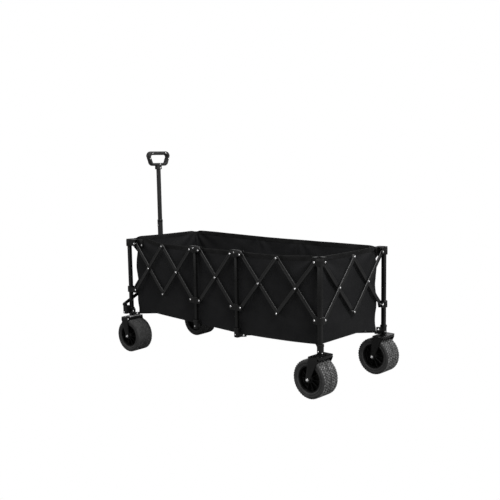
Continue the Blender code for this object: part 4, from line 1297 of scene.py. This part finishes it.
def stitch_line(bm, points, share, extra, side):
    """Short raised threads in a row, a stitch length apart."""
    travelled, next_at = 0.0, STITCH / 2
    for a, b in zip(points, points[1:]):
        step = (b - a).length
        while next_at <= travelled + step:
            middle = a.lerp(b, (next_at - travelled) / step)
            tangent = (b - a).normalized()
            centre = wall_surface(middle.x, middle.y, share, extra)
            out = outward_at(middle.x, middle.y)
            along = Vector((tangent.x, tangent.y, 0)) * STITCH * 0.34
            up = Vector((0, 0, 0.00045))
            proud = Vector((out.x, out.y, 0)) * 0.0005 * side
            ends = [bm.verts.new(centre - along), bm.verts.new(centre + along)]
            ring = [bm.verts.new(centre + offset) for offset in (up, proud, -up, -proud)]
            for k in range(4):
                after = (k + 1) % 4
                bm.faces.new((ends[0], ring[k], ring[after]))
                bm.faces.new((ends[1], ring[after], ring[k]))
            next_at += STITCH
        travelled += step


def make_stitches(name, points):
    """Two seams on both faces of the hem, and one outside along the wall's lower edge."""
    bm = bmesh.new()
    for share in (HEM_LOW + 0.007, 0.990):
        for side in (1, -1):
            stitch_line(bm, points, share, side * 0.0014, side)
    stitch_line(bm, points, 0.035, CLOTH / 2, 1)
    face_outwards(bm)
    return soft_piece("stitches_" + name, bm, "thread", name)


def make_floor():
    """The floor lies in strips that slide over each other when the wagon is folded."""
    middle_keep = (BAG_REAR_X - BAG_FRONT_X - 2 * CORNER_FOLD_X) / (BAG_REAR_X - BAG_FRONT_X)
    middle_anchor = (BAG_FRONT_X + CORNER_FOLD_X - middle_keep * BAG_FRONT_X) / (1 - middle_keep)
    edge = 0.0010
    for side_name, side in (("left", -1), ("right", 1)):
        for part, start, end in (("front", BAG_FRONT_X, -MIDDLE_X), ("middle", -MIDDLE_X, MIDDLE_X),
                                 ("rear", MIDDLE_X, BAG_REAR_X)):
            strip(f"floor_{side_name}_{part}", start, end, side * FLOOR_STRIP, side * (BAG_HALF_Y - edge),
                  0.0008 if side < 0 else 0.0034, fold_of(f"{side_name}_{part}"))
    strip("floor_centre", BAG_FRONT_X + edge, BAG_REAR_X - edge, -FLOOR_STRIP - FLOOR_OVERLAP,
          FLOOR_STRIP + FLOOR_OVERLAP, 0.0060,
          ("root", (1, 0, 0), Vector((middle_anchor, 0, 0)), middle_keep))


def strip(name, x0, x1, y0, y1, lift, fold):
    bm = bmesh.new()
    low, high = sorted((y0, y1))
    across = max(2, round((high - low) / 0.012))
    along = max(2, round((x1 - x0) / 0.012))
    rows = []
    for j in range(across + 1):
        row = []
        for i in range(along + 1):
            x = x0 + (x1 - x0) * i / along
            y = low + (high - low) * j / across
            px, py = inside_outline(x, y)
            row.append(bm.verts.new((px, py, floor_height(px, py) + lift)))
        rows.append(row)
    grid_faces(bm, rows)
    piece = soft_piece(name, bm, "floor_cloth", fold, CLOTH)


def inside_outline(x, y):
    """Keep a floor point within the bag's rounded corners."""
    cx = min(max(x, BAG_FRONT_X + BAG_ROUNDING), BAG_REAR_X - BAG_ROUNDING)
    cy = min(max(y, -BAG_HALF_Y + BAG_ROUNDING), BAG_HALF_Y - BAG_ROUNDING)
    away = Vector((x - cx, y - cy))
    limit = BAG_ROUNDING - 0.003
    if away.length > limit:
        away = away.normalized() * limit
    return cx + away.x, cy + away.y


# ---------------------------------------------------------------- floor frame

def make_floor_frame():
    """A hub in each half of the wagon, with a strut from it to every post of that half."""
    profile = [(0, FLOOR_HUB_BOTTOM), (0.036, FLOOR_HUB_BOTTOM), (0.0405, 0.1935), (0.0420, 0.1980),
               (0.0420, 0.2085), (0.0405, 0.2125), (0.0360, FLOOR_HUB_TOP), (0, FLOOR_HUB_TOP)]
    for label, side in (("front", -1), ("rear", 1)):
        stand = stand_at(floor_hub_x(side), 0)
        body = f"floor_hub_{label}"
        hub = bmesh.new()
        add(hub, turned(profile, 48), stand)
        for k in range(12):
            rib = block((-0.0012, 0.020, FLOOR_HUB_BOTTOM - 0.0017),
                        (0.0012, 0.037, FLOOR_HUB_BOTTOM + 0.0005), 0.0009, 0.0004, 2)
            add(hub, rib, stand @ Matrix.Rotation(pi * k / 6, 4, "Z"))
        emit("hub_" + label, hub, "plastic", body, 36, (body,))
    section = rounded((-0.0030, -0.0046), (0.0030, 0.0046), 0.0026, 4)
    for label, x, y, _ in POSTS:
        inward = hub_direction(x, y)
        hub_x = floor_hub_x(x)
        reach = hypot(hub_x - x, y) - HUB_EDGE
        bar = prism(section, STRUT_START, reach, 0.0008, 1)
        bar.transform(stand_at(x, y, STRUT_Z, atan2(inward.y, inward.x)) @ FORWARDS)
        piece = emit("strut_" + label, bar, "frame", "post_" + label, 40, recalc=True)
        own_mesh(piece)


def floor_hub_x(x):
    """Where the floor hub of the half that holds x stands."""
    return (REAR_X + MIDDLE_X) / 2 if x > 0 else (FRONT_X - MIDDLE_X) / 2


# ---------------------------------------------------------------- everything

make_camera()
make_stage()
MATERIALS = make_materials()
POSTS = list_posts()
for label, x, y, arms in POSTS:
    make_post(label, x, y, arms)
    make_slider(label, x, y, arms)
make_links()
for side_name, y in (("left", -HALF_WIDTH), ("right", HALF_WIDTH)):
    make_fork(f"post_{side_name}_rear", REAR_X, y, REAR_TRAIL, 0.0, ())
    fork = f"caster_fork_{side_name}"
    make_fork(fork, FRONT_X, y, FRONT_TRAIL, CASTER_TURN, (fork,))
    make_wheel(f"wheel_{side_name}_rear", REAR_X + REAR_TRAIL, y, 0.0)
    hub = Matrix.Rotation(CASTER_TURN, 3, "Z") @ Vector((FRONT_TRAIL, 0, 0))
    make_wheel(f"wheel_{side_name}_front", FRONT_X + hub.x, y + hub.y, CASTER_TURN)
    make_pedal(side_name, FRONT_X, y, CASTER_TURN)
make_handle()
make_walls()
make_floor()
make_floor_frame()
